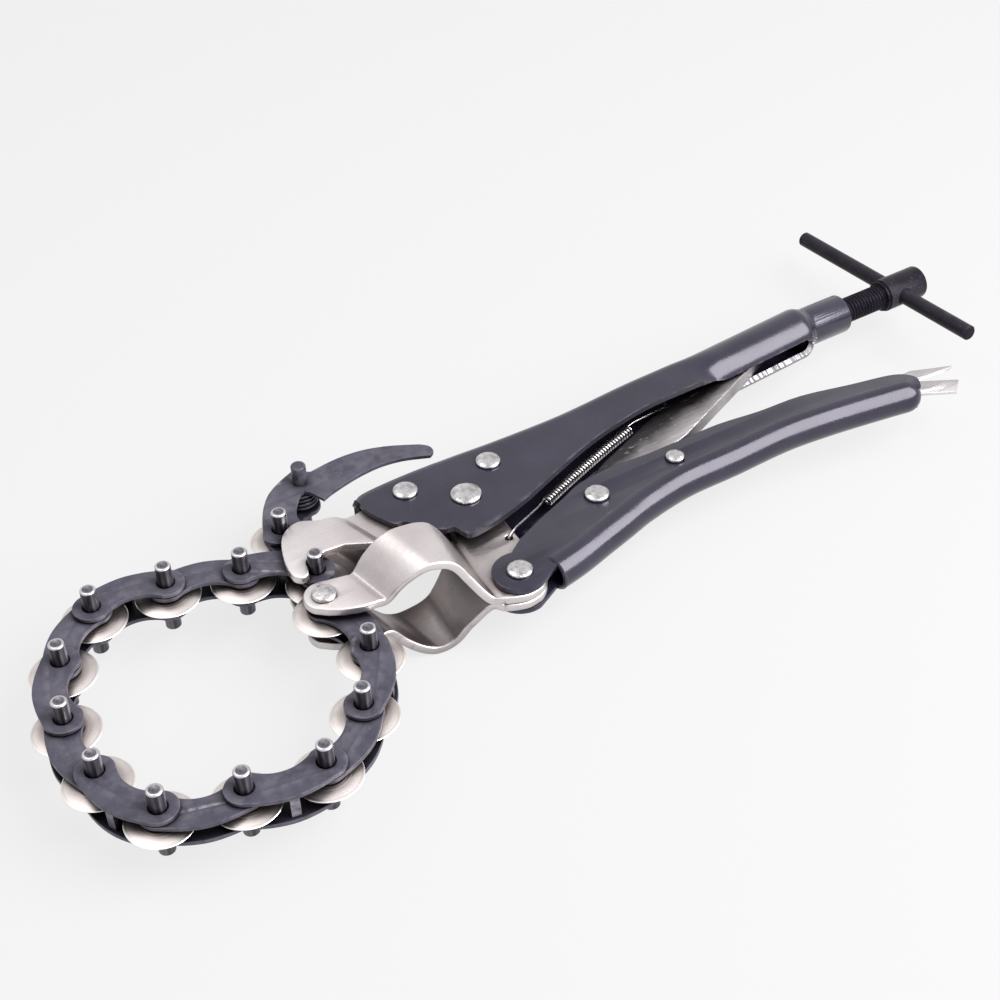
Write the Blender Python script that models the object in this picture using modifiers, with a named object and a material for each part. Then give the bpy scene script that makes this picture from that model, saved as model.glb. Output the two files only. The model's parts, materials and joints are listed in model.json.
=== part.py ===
"""Locking chain pipe cutter.

A chain of cutting wheels is closed round a pipe by toggle pliers with a T-bar screw. The tool lies
in a plane of its own: x runs along the upper handle towards the T-bar, y from the lower handle to
the upper one, and z across the sheet pieces, counted from the tool's mid-plane. The origin is on
the main pivot's axis, at its flat rivet head.
"""

import math

import bmesh
import bpy
from mathutils import Matrix, Vector

MM = 0.001

# Fits
GAP = 0.3 * MM  # between neighbouring sheets, under rivet heads and round every pin
OVERRUN = 4.0 * MM  # how far a cutting solid passes the surface that it opens
WELD = 0.001 * MM  # merge distance for caps and seams

# Thickness of the sheet pieces
LINK_SHEET = 1.6 * MM
JAW_SHEET = 3.0 * MM
HANDLE_SHEET = 2.0 * MM
RELEASE_SHEET = 1.3 * MM

# Cutting wheels, pins and chain
PITCH = 25.0 * MM
WHEEL_RADIUS = 11.0 * MM
WHEEL_HUB_RADIUS = 5.4 * MM
WHEEL_HUB_HALF = 1.3 * MM
WHEEL_SHIFT = 0.8 * MM  # the two wheels at the jaws slip past each other by this end play
PIN_RADIUS = 2.65 * MM
PIN_HALF = 13.5 * MM
PIN_CHAMFER = 0.5 * MM
BUSH_WALL = 0.8 * MM
LINK_END_RADIUS = 6.3 * MM
LINK_BULGE = 2.8 * MM
LINK_SCALLOP = 4.6 * MM
FOLD_BULGE = 0.1 * MM  # of the link folded back over the spacer before it
SPACER_WIDTH = 2.4 * MM
SPACER_DEPTH = 1.6 * MM
SPACER_INSET = 2.0 * MM  # in from the outer side of the link's ends
HEADINGS = (-84, -123, -145, -189.5, -197, -246.5, -270, -289.5, -315, -366.5, -378, -395, -268.5, -312.5)
PIN_NAMES = ("jaw", "k", "j", "i", "h", "g", "f", "e", "d", "c", "b", "a", "hook", "l", "m")

# Pivots and rivets of the pliers, from the main pivot
JAW_PIN = Vector((-64.2 * MM, -17.6 * MM))
REAR_PIVOT = Vector((-3.5 * MM, -39.4 * MM))
TOGGLE_PIVOT = Vector((39.4 * MM, -21.6 * MM))
RELEASE_PIVOT = Vector((73.7 * MM, -20.2 * MM))
FRONT_RIVET = Vector((-16.5 * MM, 13.1 * MM))
UPPER_RIVET = Vector((15.7 * MM, 11.0 * MM))
MAIN_SHAFT_RADIUS = 4.0 * MM
RIVET_SHAFT_RADIUS = 3.0 * MM
SMALL_SHAFT_RADIUS = 2.0 * MM
HEAD_RIM = 1.4 * MM  # how far a rivet head stands out past its shaft
HEAD_HEIGHT = 1.5 * MM

# Upper handle
HANDLE_REACH = 185.5 * MM  # main pivot to the mouth of the screw's neck
BACK_RISE = 30.0 * MM  # main pivot to the highest part of the back
BACK_ROUNDING = 5.0 * MM
TUBE_RADIUS = 10.0 * MM
TUBE_LEAN = 4.3  # degrees, the rolled tube against the screw
TUBE_DROP = 1.0 * MM  # tube's axis under the screw's, where the neck starts
NECK_RADIUS = 7.6 * MM
NECK_LENGTH = 17.5 * MM
NECK_CONE = 5.0 * MM
SCREW_AXIS_Y = 21.8 * MM
SEAM_HALF = 3.7 * MM

# Adjusting screw and T-bar
SCREW_RADIUS = 5.0 * MM
THREAD_PITCH = 1.5 * MM
THREAD_DEPTH = 0.6 * MM
THREAD_SHOWN = 20.0 * MM
COLLAR_RADIUS = 6.0 * MM
COLLAR_LENGTH = 1.5 * MM
SCREW_HEAD_RADIUS = 6.5 * MM
SCREW_HEAD_LENGTH = 19.0 * MM
SCREW_CHAMFER = 0.8 * MM
BAR_RADIUS = 3.0 * MM
BAR_LENGTH = 98.0 * MM
BAR_SLID = 6.8 * MM  # the bar's middle lies this far towards the back
BAR_INSET = 7.0 * MM  # head's inner end to the bar's axis
BAR_ROLL = -4.5  # degrees about the screw

# Lower handle
LEVER_REACH = 176.0 * MM  # main pivot to the round end
LEVER_DROP = 48.0 * MM  # main pivot to the lowest part of the back
LEVER_LUG_RADIUS = 9.5 * MM
BEAD_RADIUS = 6.2 * MM
BEAD_WALL = 2.0 * MM
BEAD_SEAT = 2.0 * MM  # how far the cheeks reach into the bead
TIP_ROOM = 3.2 * MM  # step down of the channel's floor under the release lever's prongs

# Jaws
MAIN_LUG_RADIUS = 9.0 * MM
UPPER_LUG_RADIUS = 7.0 * MM
FRONT_LUG_RADIUS = 6.0 * MM
JAW_END_RADIUS = 6.8 * MM
ARCH_CREST = 20.3 * MM  # outer height of the arch over the mid-plane
ARCH_REACH = 50.0 * MM  # main pivot to the fold before the arch, at its far edge
ARCH_FAR = -13.0 * MM  # the arch's folds are set out along these two lines
ARCH_NEAR = -35.0 * MM
HOOK_HEIGHT = 25.0 * MM
HOOK_SEAT_GAP = 0.5 * MM
JOGGLE = 38.3 * MM  # main pivot to the outer crease of the fixed jaw
JOGGLE_RUN = 3.8 * MM
HOOK_TILT = 16.0  # degrees, direction across the creases of the fixed jaw

# Toggle link and release lever
NOSE_DEPTH = 36.5 * MM  # mouth of the screw's neck to the toggle link's nose
TOGGLE_RISE = 41.1 * MM
TOGGLE_REACH = HANDLE_REACH - NOSE_DEPTH - TOGGLE_PIVOT.x
TOGGLE_HALF = 2.9 * MM
TOGGLE_LUG_RADIUS = 7.0 * MM
TOGGLE_NOSE_RADIUS = 1.4 * MM
TOGGLE_CLEARANCE = 2.3 * MM  # nose to the screw's tip, where the closed linkage is opened
RELEASE_REACH = 121.8 * MM
RELEASE_DROP = 20.0 * MM

# Finger on the chain's tail
FINGER_REACH = 65.0 * MM
FINGER_RISE = 25.0 * MM
FINGER_END_RADIUS = 7.6 * MM

# Springs
SPRING_WIRE = 0.8 * MM
SPRING_DIAMETER = 4.0 * MM
SPRING_TURNS = 36
SPRING_START = Vector((26.5 * MM, -9.8 * MM))
SPRING_MIDDLE = Vector((50.0 * MM, -0.6 * MM))
SPRING_END = Vector((74.0 * MM, 7.4 * MM))
SPRING_HOLE = Vector((3.6 * MM, -21.4 * MM))
SPRING_HOLE_RADIUS = 1.3 * MM
SPRING_SHANK = 5.2 * MM  # straight wire that lies along the moving jaw
SPRING_ANCHOR_X = 97.0 * MM
TAIL_WIRE = 1.2 * MM
TAIL_COIL_RADIUS = 5.0 * MM
TAIL_TURNS = 4
TAIL_LEG = 9.0 * MM

# Levels over the mid-plane, stacked outwards from the wheels and the moving jaw
INNER_LOW = WHEEL_HUB_HALF + WHEEL_SHIFT + GAP
INNER_HIGH = INNER_LOW + LINK_SHEET
OUTER_LOW = INNER_HIGH + GAP
OUTER_HIGH = OUTER_LOW + LINK_SHEET
FRONT_LOW = OUTER_HIGH + GAP
FRONT_MIDDLE = FRONT_LOW + JAW_SHEET / 2
FRONT_HIGH = FRONT_LOW + JAW_SHEET
MOVING_MIDDLE = GAP / 2 + JAW_SHEET / 2
MOVING_HIGH = GAP / 2 + JAW_SHEET
FIXED_LOW = MOVING_HIGH + GAP
FIXED_MIDDLE = FIXED_LOW + JAW_SHEET / 2
FIXED_HIGH = FIXED_LOW + JAW_SHEET
CHEEK_LOW = FIXED_HIGH + GAP
CHEEK_HIGH = CHEEK_LOW + HANDLE_SHEET
LEVER_LOW = MOVING_HIGH + GAP
LEVER_HIGH = LEVER_LOW + HANDLE_SHEET
RELEASE_HIGH = LEVER_LOW - GAP
MID_HEIGHT = CHEEK_HIGH + GAP + HEAD_HEIGHT

# Outlines, as shares of the length and height of the piece that they belong to
UPPER_BACK_SHARES = (
    (-0.1757, 0.707),
    (-0.159, 0.773),
    (-0.1186, 0.8),
    (-0.0631, 0.81),
    (-0.0075, 0.803),
    (0.0534, 0.787),
    (0.1148, 0.763),
    (0.1935, 0.747),
    (0.2695, 0.743),
    (0.3326, 0.763),
    (0.4394, 0.813),
    (0.5407, 0.833),
    (0.6038, 0.84),
    (0.6685, 0.86),
)
UPPER_EDGE_SHARES = (
    (0.6685, 0.433),
    (0.6361, 0.343),
    (0.6038, 0.273),
    (0.5714, 0.233),
    (0.5229, 0.227),
    (0.4739, 0.223),
    (0.4205, 0.197),
    (0.366, 0.137),
    (0.31, 0.063),
    (0.2512, -0.047),
    (0.1903, -0.187),
    (0.1321, -0.327),
    (0.09, -0.43),
    (0.0291, -0.543),
    (-0.0102, -0.593),
    (-0.0485, -0.607),
    (-0.0588, -0.517),
    (-0.0647, -0.4),
    (-0.0889, -0.35),
    (-0.1305, -0.023),
    (-0.1499, 0.013),
    (-0.1709, 0.307),
)
TUBE_START_SHARE = 0.59
TUBE_FULL_SHARE = 0.652
LOWER_EDGE_SHARES = (
    (0.028, -0.544),
    (0.091, -0.442),
    (0.161, -0.348),
    (0.198, -0.29),
    (0.235, -0.26),
    (0.303, -0.242),
    (0.364, -0.267),
    (0.456, -0.273),
    (0.556, -0.277),
    (0.652, -0.323),
    (0.757, -0.35),
    (0.868, -0.45),
    (0.955, -0.525),
    (0.989, -0.594),
    (1.0, -0.677),
    (0.989, -0.76),
)
BEAD_SHARES = (
    (0.048, -0.871),
    (0.107, -0.827),
    (0.171, -0.76),
    (0.236, -0.694),
    (0.303, -0.625),
    (0.41, -0.5625),
    (0.533, -0.56),
    (0.667, -0.548),
    (0.788, -0.59),
    (0.907, -0.658),
    (0.963, -0.694),
)
JAW_NEAR_SHARES = (
    (-1.036, -0.62),
    (-0.969, -0.685),
    (-0.861, -0.745),
    (-0.735, -0.765),
    (-0.674, -0.8),
    (-0.606, -0.845),
    (-0.503, -0.9),
    (-0.431, -0.928),
    (-0.374, -0.96),
    (-0.321, -1.025),
    (-0.248, -1.11),
    (-0.188, -1.18),
    (-0.098, -1.235),
    (-0.02, -1.225),
    (0.03, -1.165),
    (0.1, -0.614),
    (0.112, -0.325),
)
JAW_FAR_SHARES = (
    (-0.179, -0.335),
    (-0.312, -0.345),
    (-0.467, -0.335),
    (-0.623, -0.32),
    (-0.745, -0.302),
    (-0.829, -0.335),
)
# Reach along the far line, reach along the near line, and height
ARCH_SHARES = (
    (0.287, 0.323, 0.0),
    (0.386, 0.437, 0.487),
    (0.432, 0.481, 0.697),
    (0.481, 0.524, 0.854),
    (0.558, 0.576, 0.953),
    (0.672, 0.639, 1.0),
    (0.753, 0.69, 0.991),
    (0.837, 0.761, 0.883),
    (0.914, 0.844, 0.662),
    (1.004, 0.927, 0.353),
)
HOOK_OUTER_SHARES = (
    (0.948, 0.676),
    (0.788, 0.68),
    (0.456, 0.72),
    (0.232, 0.844),
    (0.072, 0.844),
    (-0.076, 0.764),
    (-0.184, 0.632),
    (-0.272, 0.44),
    (-0.348, 0.192),
    (-0.376, -0.036),
    (-0.336, -0.136),
    (-0.268, -0.18),
    (-0.18, -0.15),
)
HOOK_INNER_SHARES = ((0.2, 0.128), (0.488, 0.096), (0.816, -0.092))
NECK_SHARES = (-0.37, -0.14)
TOGGLE_TOP_SHARES = (
    (0.06, 0.287),
    (0.115, 0.372),
    (0.188, 0.452),
    (0.279, 0.55),
    (0.37, 0.647),
    (0.48, 0.735),
    (0.608, 0.765),
    (0.776, 0.77),
)
TOGGLE_LOW_SHARES = ((0.78, 0.693), (0.407, 0.26), (0.188, 0.209))
RELEASE_TOP_SHARES = (
    (-0.078, 0.14),
    (-0.033, 0.25),
    (0.025, 0.28),
    (0.1, 0.275),
    (0.23, 0.19),
    (0.46, 0.06),
    (0.64, -0.13),
    (0.79, -0.245),
    (0.863, -0.26),
)
RELEASE_LOW_SHARES = (
    (0.79, -0.475),
    (0.62, -0.35),
    (0.38, -0.25),
    (0.08, -0.225),
    (0.0, -0.24),
    (-0.066, -0.075),
)
UPPER_PRONG_SHARES = ((1.0, -0.58), (0.858, -0.51))
LOWER_PRONG_SHARES = ((1.0, -0.715), (0.952, -0.97), (0.842, -0.61))
RELEASE_WEB_SHARES = ((0.1, 0.275), (0.23, 0.19), (0.46, 0.06), (0.64, -0.13), (0.76, -0.22))
FINGER_SHARES = (
    (-0.063, 0.228),
    (-0.006, 0.5),
    (0.07, 0.74),
    (0.166, 0.904),
    (0.263, 1.016),
    (0.349, 0.864),
    (0.514, 0.916),
    (0.665, 0.884),
    (0.809, 0.756),
    (0.96, 0.536),
    (0.995, 0.428),
    (0.994, 0.304),
    (0.96, 0.236),
    (0.822, 0.388),
    (0.702, 0.444),
    (0.595, 0.432),
    (0.482, 0.38),
    (0.36, 0.292),
    (0.303, 0.228),
    (0.243, 0.524),
    (0.158, 0.32),
    (0.118, 0.12),
)
# Along the link, and down its scallop or up its bulge
SCALLOP_SHARES = ((0.2, 0.52), (0.35, 0.89), (0.5, 1.0), (0.65, 0.89), (0.8, 0.52))
BULGE_SHARES = ((0.78, 0.69), (0.5, 1.0), (0.22, 0.69))
DOME_SHARES = ((0, 0), (0.55, 0.12), (0.88, 0.5), (1, 1))
FOOT_SHARES = ((1, 1), (1, 0.4), (0.86, 0), (0, 0))

# Colour, roughness and metallic value of each finish
FINISHES = {
    "black_enamel": ((0.018, 0.018, 0.024), 0.28, 0.0),
    "nickel_plate": ((0.52, 0.52, 0.53), 0.3, 1.0),
    "black_steel": ((0.035, 0.035, 0.038), 0.42, 0.6),
    "wheel_steel": ((0.4, 0.38, 0.36), 0.34, 1.0),
    "gunmetal": ((0.11, 0.11, 0.12), 0.36, 1.0),
    "bright_steel": ((0.66, 0.65, 0.65), 0.24, 1.0),
    "black_oxide": ((0.05, 0.05, 0.058), 0.36, 0.85),
    "zinc_spring": ((0.6, 0.6, 0.6), 0.28, 1.0),
}

# Facets
TUBE_SEGMENTS = 20
WHEEL_SEGMENTS = 20
ROUND_SEGMENTS = 14
RIVET_SEGMENTS = 12
PIN_SEGMENTS = 10
HOLE_STEPS = 10
END_STEPS = 6
LINK_STEPS = 4
TURN_POINTS = 8
SMOOTH_ANGLE = math.radians(35)


def clear_scene():
    for obj in list(bpy.data.objects):
        bpy.data.objects.remove(obj, do_unlink=True)


def finish(name):
    """The material of that name, made on first use."""
    material = bpy.data.materials.get(name)
    if material:
        return material
    colour, roughness, metallic = FINISHES[name]
    material = bpy.data.materials.new(name)
    material.use_nodes = True
    shader = material.node_tree.nodes["Principled BSDF"]
    shader.inputs["Base Color"].default_value = (*colour, 1.0)
    shader.inputs["Roughness"].default_value = roughness
    shader.inputs["Metallic"].default_value = metallic
    material.diffuse_color = (*colour, 1.0)
    return material


def arc(centre, radius, start, end, steps):
    """Points round a centre, angles in degrees."""
    turns = [math.radians(start + (end - start) * n / steps) for n in range(steps + 1)]
    return [Vector(centre) + radius * Vector((math.cos(a), math.sin(a))) for a in turns]


def circle(centre, radius, steps=HOLE_STEPS):
    return arc(centre, radius, 0, 360 * (steps - 1) / steps, steps - 1)


def shaped(shares, length, height, start=(0, 0)):
    """Outline points from shares of a length and a height."""
    return [Vector(start) + Vector((x * length, y * height)) for x, y in shares]


def work_object(name, data):
    obj = bpy.data.objects.new(name, data)
    bpy.context.scene.collection.objects.link(obj)
    return obj


def to_mesh(obj):
    """A closed mesh object with the evaluated shape, in place of the object."""
    bpy.context.view_layer.update()
    graph = bpy.context.evaluated_depsgraph_get()
    mesh = bpy.data.meshes.new_from_object(obj.evaluated_get(graph))
    mesh.transform(obj.matrix_world)
    shape = bmesh.new()
    shape.from_mesh(mesh)
    bmesh.ops.remove_doubles(shape, verts=shape.verts, dist=WELD)
    bmesh.ops.recalc_face_normals(shape, faces=shape.faces)
    shape.to_mesh(mesh)
    shape.free()
    name = obj.name
    bpy.data.objects.remove(obj, do_unlink=True)
    return work_object(name, mesh)


def prism(outline, low, high, holes=()):
    """A flat outline with holes, filled between two levels."""
    curve = bpy.data.curves.new("outline", "CURVE")
    curve.dimensions = "2D"
    curve.fill_mode = "BOTH"
    curve.extrude = (high - low) / 2
    for loop in (outline, *holes):
        spline = curve.splines.new("POLY")
        spline.points.add(len(loop) - 1)
        for point, place in zip(spline.points, loop):
            point.co = (place[0], place[1], 0, 1)
        spline.use_cyclic_u = True
    obj = work_object("outline", curve)
    obj.location.z = (low + high) / 2
    return to_mesh(obj)


def turned(profile, segments, closed=False):
    """A profile of (radius, height) points turned about z; its outer side runs downwards."""
    mesh = bpy.data.meshes.new("turned")
    pairs = [(n, n + 1) for n in range(len(profile) - 1)]
    if closed:
        pairs.append((len(profile) - 1, 0))
    mesh.from_pydata([(r, 0, z) for r, z in profile], pairs, [])
    obj = work_object("turned", mesh)
    screw = obj.modifiers.new("Turn", "SCREW")
    screw.steps = screw.render_steps = segments
    screw.use_merge_vertices = True
    screw.merge_threshold = WELD
    return to_mesh(obj)


def tube(points, radius, resolution=1, swells=None):
    """A wire or pipe along points; swells are shares of the radius, one a point."""
    curve = bpy.data.curves.new("tube", "CURVE")
    curve.dimensions = "3D"
    curve.bevel_depth = radius
    curve.bevel_resolution = resolution
    curve.use_fill_caps = True
    spline = curve.splines.new("POLY")
    spline.points.add(len(points) - 1)
    for n, (point, place) in enumerate(zip(spline.points, points)):
        point.co = (*place, 1)
        point.radius = swells[n] if swells else 1
    return to_mesh(work_object("tube", curve))


def folded_sheet(first, second):
    """A sheet bent along straight folds, between two lines of points along its middle surface."""
    mesh = bpy.data.meshes.new("sheet")
    count = len(first)
    faces = [(n, n + 1, count + n + 1, count + n) for n in range(count - 1)]
    mesh.from_pydata([*first, *second], [], faces)
    obj = work_object("sheet", mesh)
    solid = obj.modifiers.new("Thickness", "SOLIDIFY")
    solid.thickness = JAW_SHEET
    solid.offset = 0
    solid.use_even_offset = True
    return to_mesh(obj)


def combine(target, tools, operation):
    """Boolean of a solid with tools, which are used up."""
    for tool in tools:
        step = target.modifiers.new("Boolean", "BOOLEAN")
        step.operation = operation
        step.object = tool
        step.solver = "EXACT"
    shape = to_mesh(target)
    for tool in tools:
        bpy.data.objects.remove(tool, do_unlink=True)
    return shape


def turn_along_x(obj, place=(0, 0, 0)):
    """Lay a piece turned about z along x, starting at a place."""
    obj.data.transform(Matrix.Translation(place) @ Matrix.Rotation(math.pi / 2, 4, "Y"))
    return obj


def add_piece(name, obj, finish_name, origin=(0, 0, 0)):
    """Name a finished solid, give it its finish and put its origin on its joint."""
    origin = Vector((*origin, 0)) if len(origin) == 2 else Vector(origin)
    obj.data.transform(Matrix.Translation(-origin))
    add_copy(name, obj.data, finish_name, Matrix.Translation(origin))
    bpy.data.objects.remove(obj, do_unlink=True)


def add_copy(name, mesh, finish_name, placing):
    """One named object of a mesh, placed from the tool's mid-plane."""
    mesh.shade_smooth()
    mesh.set_sharp_from_angle(angle=SMOOTH_ANGLE)
    mesh.materials.clear()
    mesh.materials.append(finish(finish_name))
    obj = bpy.data.objects.new(name, mesh)
    PARTS.objects.link(obj)
    obj.parent = MID_PLANE
    obj.matrix_local = placing
    return obj


def least_gap(points, wire, apart):
    """Smallest clear distance between turns of a wire's middle line."""
    gaps = []
    for n, point in enumerate(points):
        gaps += [(point - other).length - wire for other in points[n + apart : n + 3 * apart]]
    return min(gaps)


def chain_pins():
    """Pin places from the jaw pin on, one pitch apart along the headings."""
    places = [JAW_PIN.copy()]
    for heading in HEADINGS:
        turn = math.radians(heading)
        places.append(places[-1] + PITCH * Vector((math.cos(turn), math.sin(turn))))
    return dict(zip(PIN_NAMES, places))


def rivet_profile(shaft, half, flat_below=False):
    """Shaft with a domed head at each end, the lower one flat if asked."""
    head = shaft + HEAD_RIM
    top = half + HEAD_HEIGHT
    dome = [(head * out, top - HEAD_HEIGHT * down) for out, down in DOME_SHARES]
    if flat_below:
        foot = [(head * out, HEAD_HEIGHT * down - top) for out, down in FOOT_SHARES]
    else:
        foot = [(r, -z) for r, z in reversed(dome)]
    return [*dome, (shaft, half), (shaft, -half), *foot]


def make_rivet(name, place, shaft, half, flat_below=False):
    body = turned(rivet_profile(shaft, half, flat_below), RIVET_SEGMENTS)
    body.data.transform(Matrix.Translation((*place, 0)))
    add_piece(name, body, "bright_steel", place)


def make_upper_handle():
    back = shaped(UPPER_BACK_SHARES, HANDLE_REACH, BACK_RISE)
    edge = shaped(UPPER_EDGE_SHARES, HANDLE_REACH, BACK_RISE)
    body = prism([*back, *edge], -CHEEK_HIGH, CHEEK_HIGH)
    round_back(body, back)
    tube_start = TUBE_START_SHARE * HANDLE_REACH
    tube_full = TUBE_FULL_SHARE * HANDLE_REACH
    neck_start = HANDLE_REACH - NECK_LENGTH
    axis = (0, SCREW_AXIS_Y, 0)
    lean = Matrix.Translation((neck_start, SCREW_AXIS_Y - TUBE_DROP, 0))
    lean @= Matrix.Rotation(math.radians(TUBE_LEAN), 4, "Z")
    start, full = tube_start - neck_start, tube_full - neck_start
    outside = [
        (0, NECK_CONE),
        (NECK_RADIUS, NECK_CONE),
        (TUBE_RADIUS, 0),
        (TUBE_RADIUS, full),
        (NECK_RADIUS, start),
        (0, start),
    ]
    barrel = turn_along_x(turned(outside, TUBE_SEGMENTS))
    barrel.data.transform(lean)
    neck = turn_along_x(prism(circle((0, 0), NECK_RADIUS), neck_start, HANDLE_REACH), axis)
    bore_radius = TUBE_RADIUS - HANDLE_SHEET
    inside = [
        (0, 0),
        (SCREW_RADIUS, 0),
        (bore_radius, -NECK_CONE),
        (bore_radius, full),
        (CHEEK_LOW, start - OVERRUN),
        (0, start - OVERRUN),
    ]
    bore = turn_along_x(turned(inside, TUBE_SEGMENTS))
    bore.data.transform(lean)
    hole = circle((0, 0), SCREW_RADIUS + GAP)
    screw_hole = turn_along_x(prism(hole, neck_start - 2 * NECK_CONE, HANDLE_REACH + OVERRUN), axis)
    ceiling = [Vector((x, y - HANDLE_SHEET)) for x, y in back]
    front = ceiling[0] - Vector((OVERRUN, 0))
    low = min(point.y for point in edge) - OVERRUN
    corners = [(ceiling[-1].x, SCREW_AXIS_Y), (ceiling[-1].x, low), (front.x, low)]
    hollow = [front, *ceiling[:-1], *corners]
    cavity = prism(hollow, -CHEEK_LOW, CHEEK_LOW)
    seam_end = neck_start - NECK_CONE
    seam = [(tube_start, SCREW_AXIS_Y), (tube_start, low), (seam_end, low), (seam_end, SCREW_AXIS_Y)]
    slot = prism(seam, -SEAM_HALF, SEAM_HALF)
    body = combine(body, [barrel, neck], "UNION")
    holes = [
        prism(circle(place, radius + GAP), -CHEEK_HIGH - OVERRUN, CHEEK_HIGH + OVERRUN)
        for place, radius in (
            (Vector((0, 0)), MAIN_SHAFT_RADIUS),
            (FRONT_RIVET, RIVET_SHAFT_RADIUS),
            (UPPER_RIVET, RIVET_SHAFT_RADIUS),
        )
    ]
    body = combine(body, [cavity, bore, screw_hole, slot, *holes], "DIFFERENCE")
    add_piece("upper_handle", body, "black_enamel")


def round_back(body, back):
    """Bevel the two long edges of a handle's back."""
    mesh = body.data
    spots = {}
    for vertex in mesh.vertices:
        distances = [(vertex.co.xy - point).length for point in back]
        if min(distances) < WELD:
            spots[vertex.index] = distances.index(min(distances))
    weights = mesh.attributes.new("bevel_weight_edge", "FLOAT", "EDGE")
    for edge, weight in zip(mesh.edges, weights.data):
        ends = [spots.get(n) for n in edge.vertices]
        weight.value = float(None not in ends and abs(ends[0] - ends[1]) == 1)
    bevel = body.modifiers.new("Rounding", "BEVEL")
    bevel.limit_method = "WEIGHT"
    bevel.width = BACK_ROUNDING
    bevel.segments = 2


def jaw_plate(name, side, lines, outline, holes, origin):
    """One bent jaw plate: a folded sheet trimmed to its plan outline and drilled."""
    sheet = folded_sheet(*([(x, y, side * height) for x, y, height in line] for line in lines))
    reach = ARCH_CREST + OVERRUN
    blank = prism(outline, -reach, reach, holes)
    plate = combine(sheet, [blank], "INTERSECT")
    add_piece(name, plate, "nickel_plate", origin)


def fold_line(profile, y):
    """Points of a profile of (far reach, near reach, height) at one level of y."""
    share = (y - ARCH_FAR) / (ARCH_NEAR - ARCH_FAR)
    return [(far + (near - far) * share, y, height) for far, near, height in profile]


def make_moving_jaw():
    rear = MOVING_MIDDLE
    rise = ARCH_CREST - JAW_SHEET / 2 - rear
    arch = [
        (-far * ARCH_REACH, -near * ARCH_REACH, rear + height * rise)
        for far, near, height in ARCH_SHARES
    ]
    arch[-1] = (*arch[-1][:2], FRONT_MIDDLE)
    reach = -JAW_PIN.x
    end = reach + 2 * JAW_END_RADIUS
    profile = [(end, end, rear), *arch, (-end, -end, FRONT_MIDDLE)]
    above, below = MAIN_LUG_RADIUS + OVERRUN, REAR_PIVOT.y - 2 * JAW_END_RADIUS
    lines = [fold_line(profile, above), fold_line(profile, below)]
    drop = -REAR_PIVOT.y
    outline = [
        *arc(JAW_PIN, JAW_END_RADIUS, 75, 215, END_STEPS),
        *shaped(JAW_NEAR_SHARES, reach, drop),
        *arc((0, 0), MAIN_LUG_RADIUS, -20, 190, END_STEPS + 2),
        *shaped(JAW_FAR_SHARES, reach, drop),
    ]
    holes = [
        circle(JAW_PIN, PIN_RADIUS + GAP),
        circle((0, 0), MAIN_SHAFT_RADIUS + GAP),
        circle(REAR_PIVOT, RIVET_SHAFT_RADIUS + GAP),
        circle(SPRING_HOLE, SPRING_HOLE_RADIUS),
    ]
    jaw_plate("moving_jaw_top", 1, lines, outline, holes, (0, 0))
    jaw_plate("moving_jaw_bottom", -1, lines, outline, holes, (0, 0))


def make_fixed_jaw(hook):
    far = HANDLE_REACH / 2
    crease = JOGGLE_RUN - JOGGLE
    profile = [(far, FIXED_MIDDLE), (crease, FIXED_MIDDLE), (-JOGGLE, FRONT_MIDDLE), (-far, FRONT_MIDDLE)]
    turn = Matrix.Rotation(math.radians(HOOK_TILT), 3, "Z")
    lines = [[turn @ Vector((run, side * far, height)) for run, height in profile] for side in (1, -1)]
    neck = Vector((NECK_SHARES[0] * -JAW_PIN.x, NECK_SHARES[1] * -REAR_PIVOT.y))
    outline = [
        *shaped(HOOK_OUTER_SHARES, HOOK_HEIGHT, HOOK_HEIGHT, hook),
        *arc(hook, PIN_RADIUS + HOOK_SEAT_GAP, 185, 45, END_STEPS),
        *shaped(HOOK_INNER_SHARES, HOOK_HEIGHT, HOOK_HEIGHT, hook),
        neck,
        *arc((0, 0), MAIN_LUG_RADIUS, 225, 320, END_STEPS),
        *arc(UPPER_RIVET, UPPER_LUG_RADIUS, -35, 85, END_STEPS),
        *arc(FRONT_RIVET, FRONT_LUG_RADIUS, 80, 115, 2),
    ]
    holes = [
        circle((0, 0), MAIN_SHAFT_RADIUS + GAP),
        circle(FRONT_RIVET, RIVET_SHAFT_RADIUS + GAP),
        circle(UPPER_RIVET, RIVET_SHAFT_RADIUS + GAP),
    ]
    jaw_plate("fixed_jaw_top", 1, lines, outline, holes, (0, 0))
    jaw_plate("fixed_jaw_bottom", -1, lines, outline, holes, (0, 0))


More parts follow.
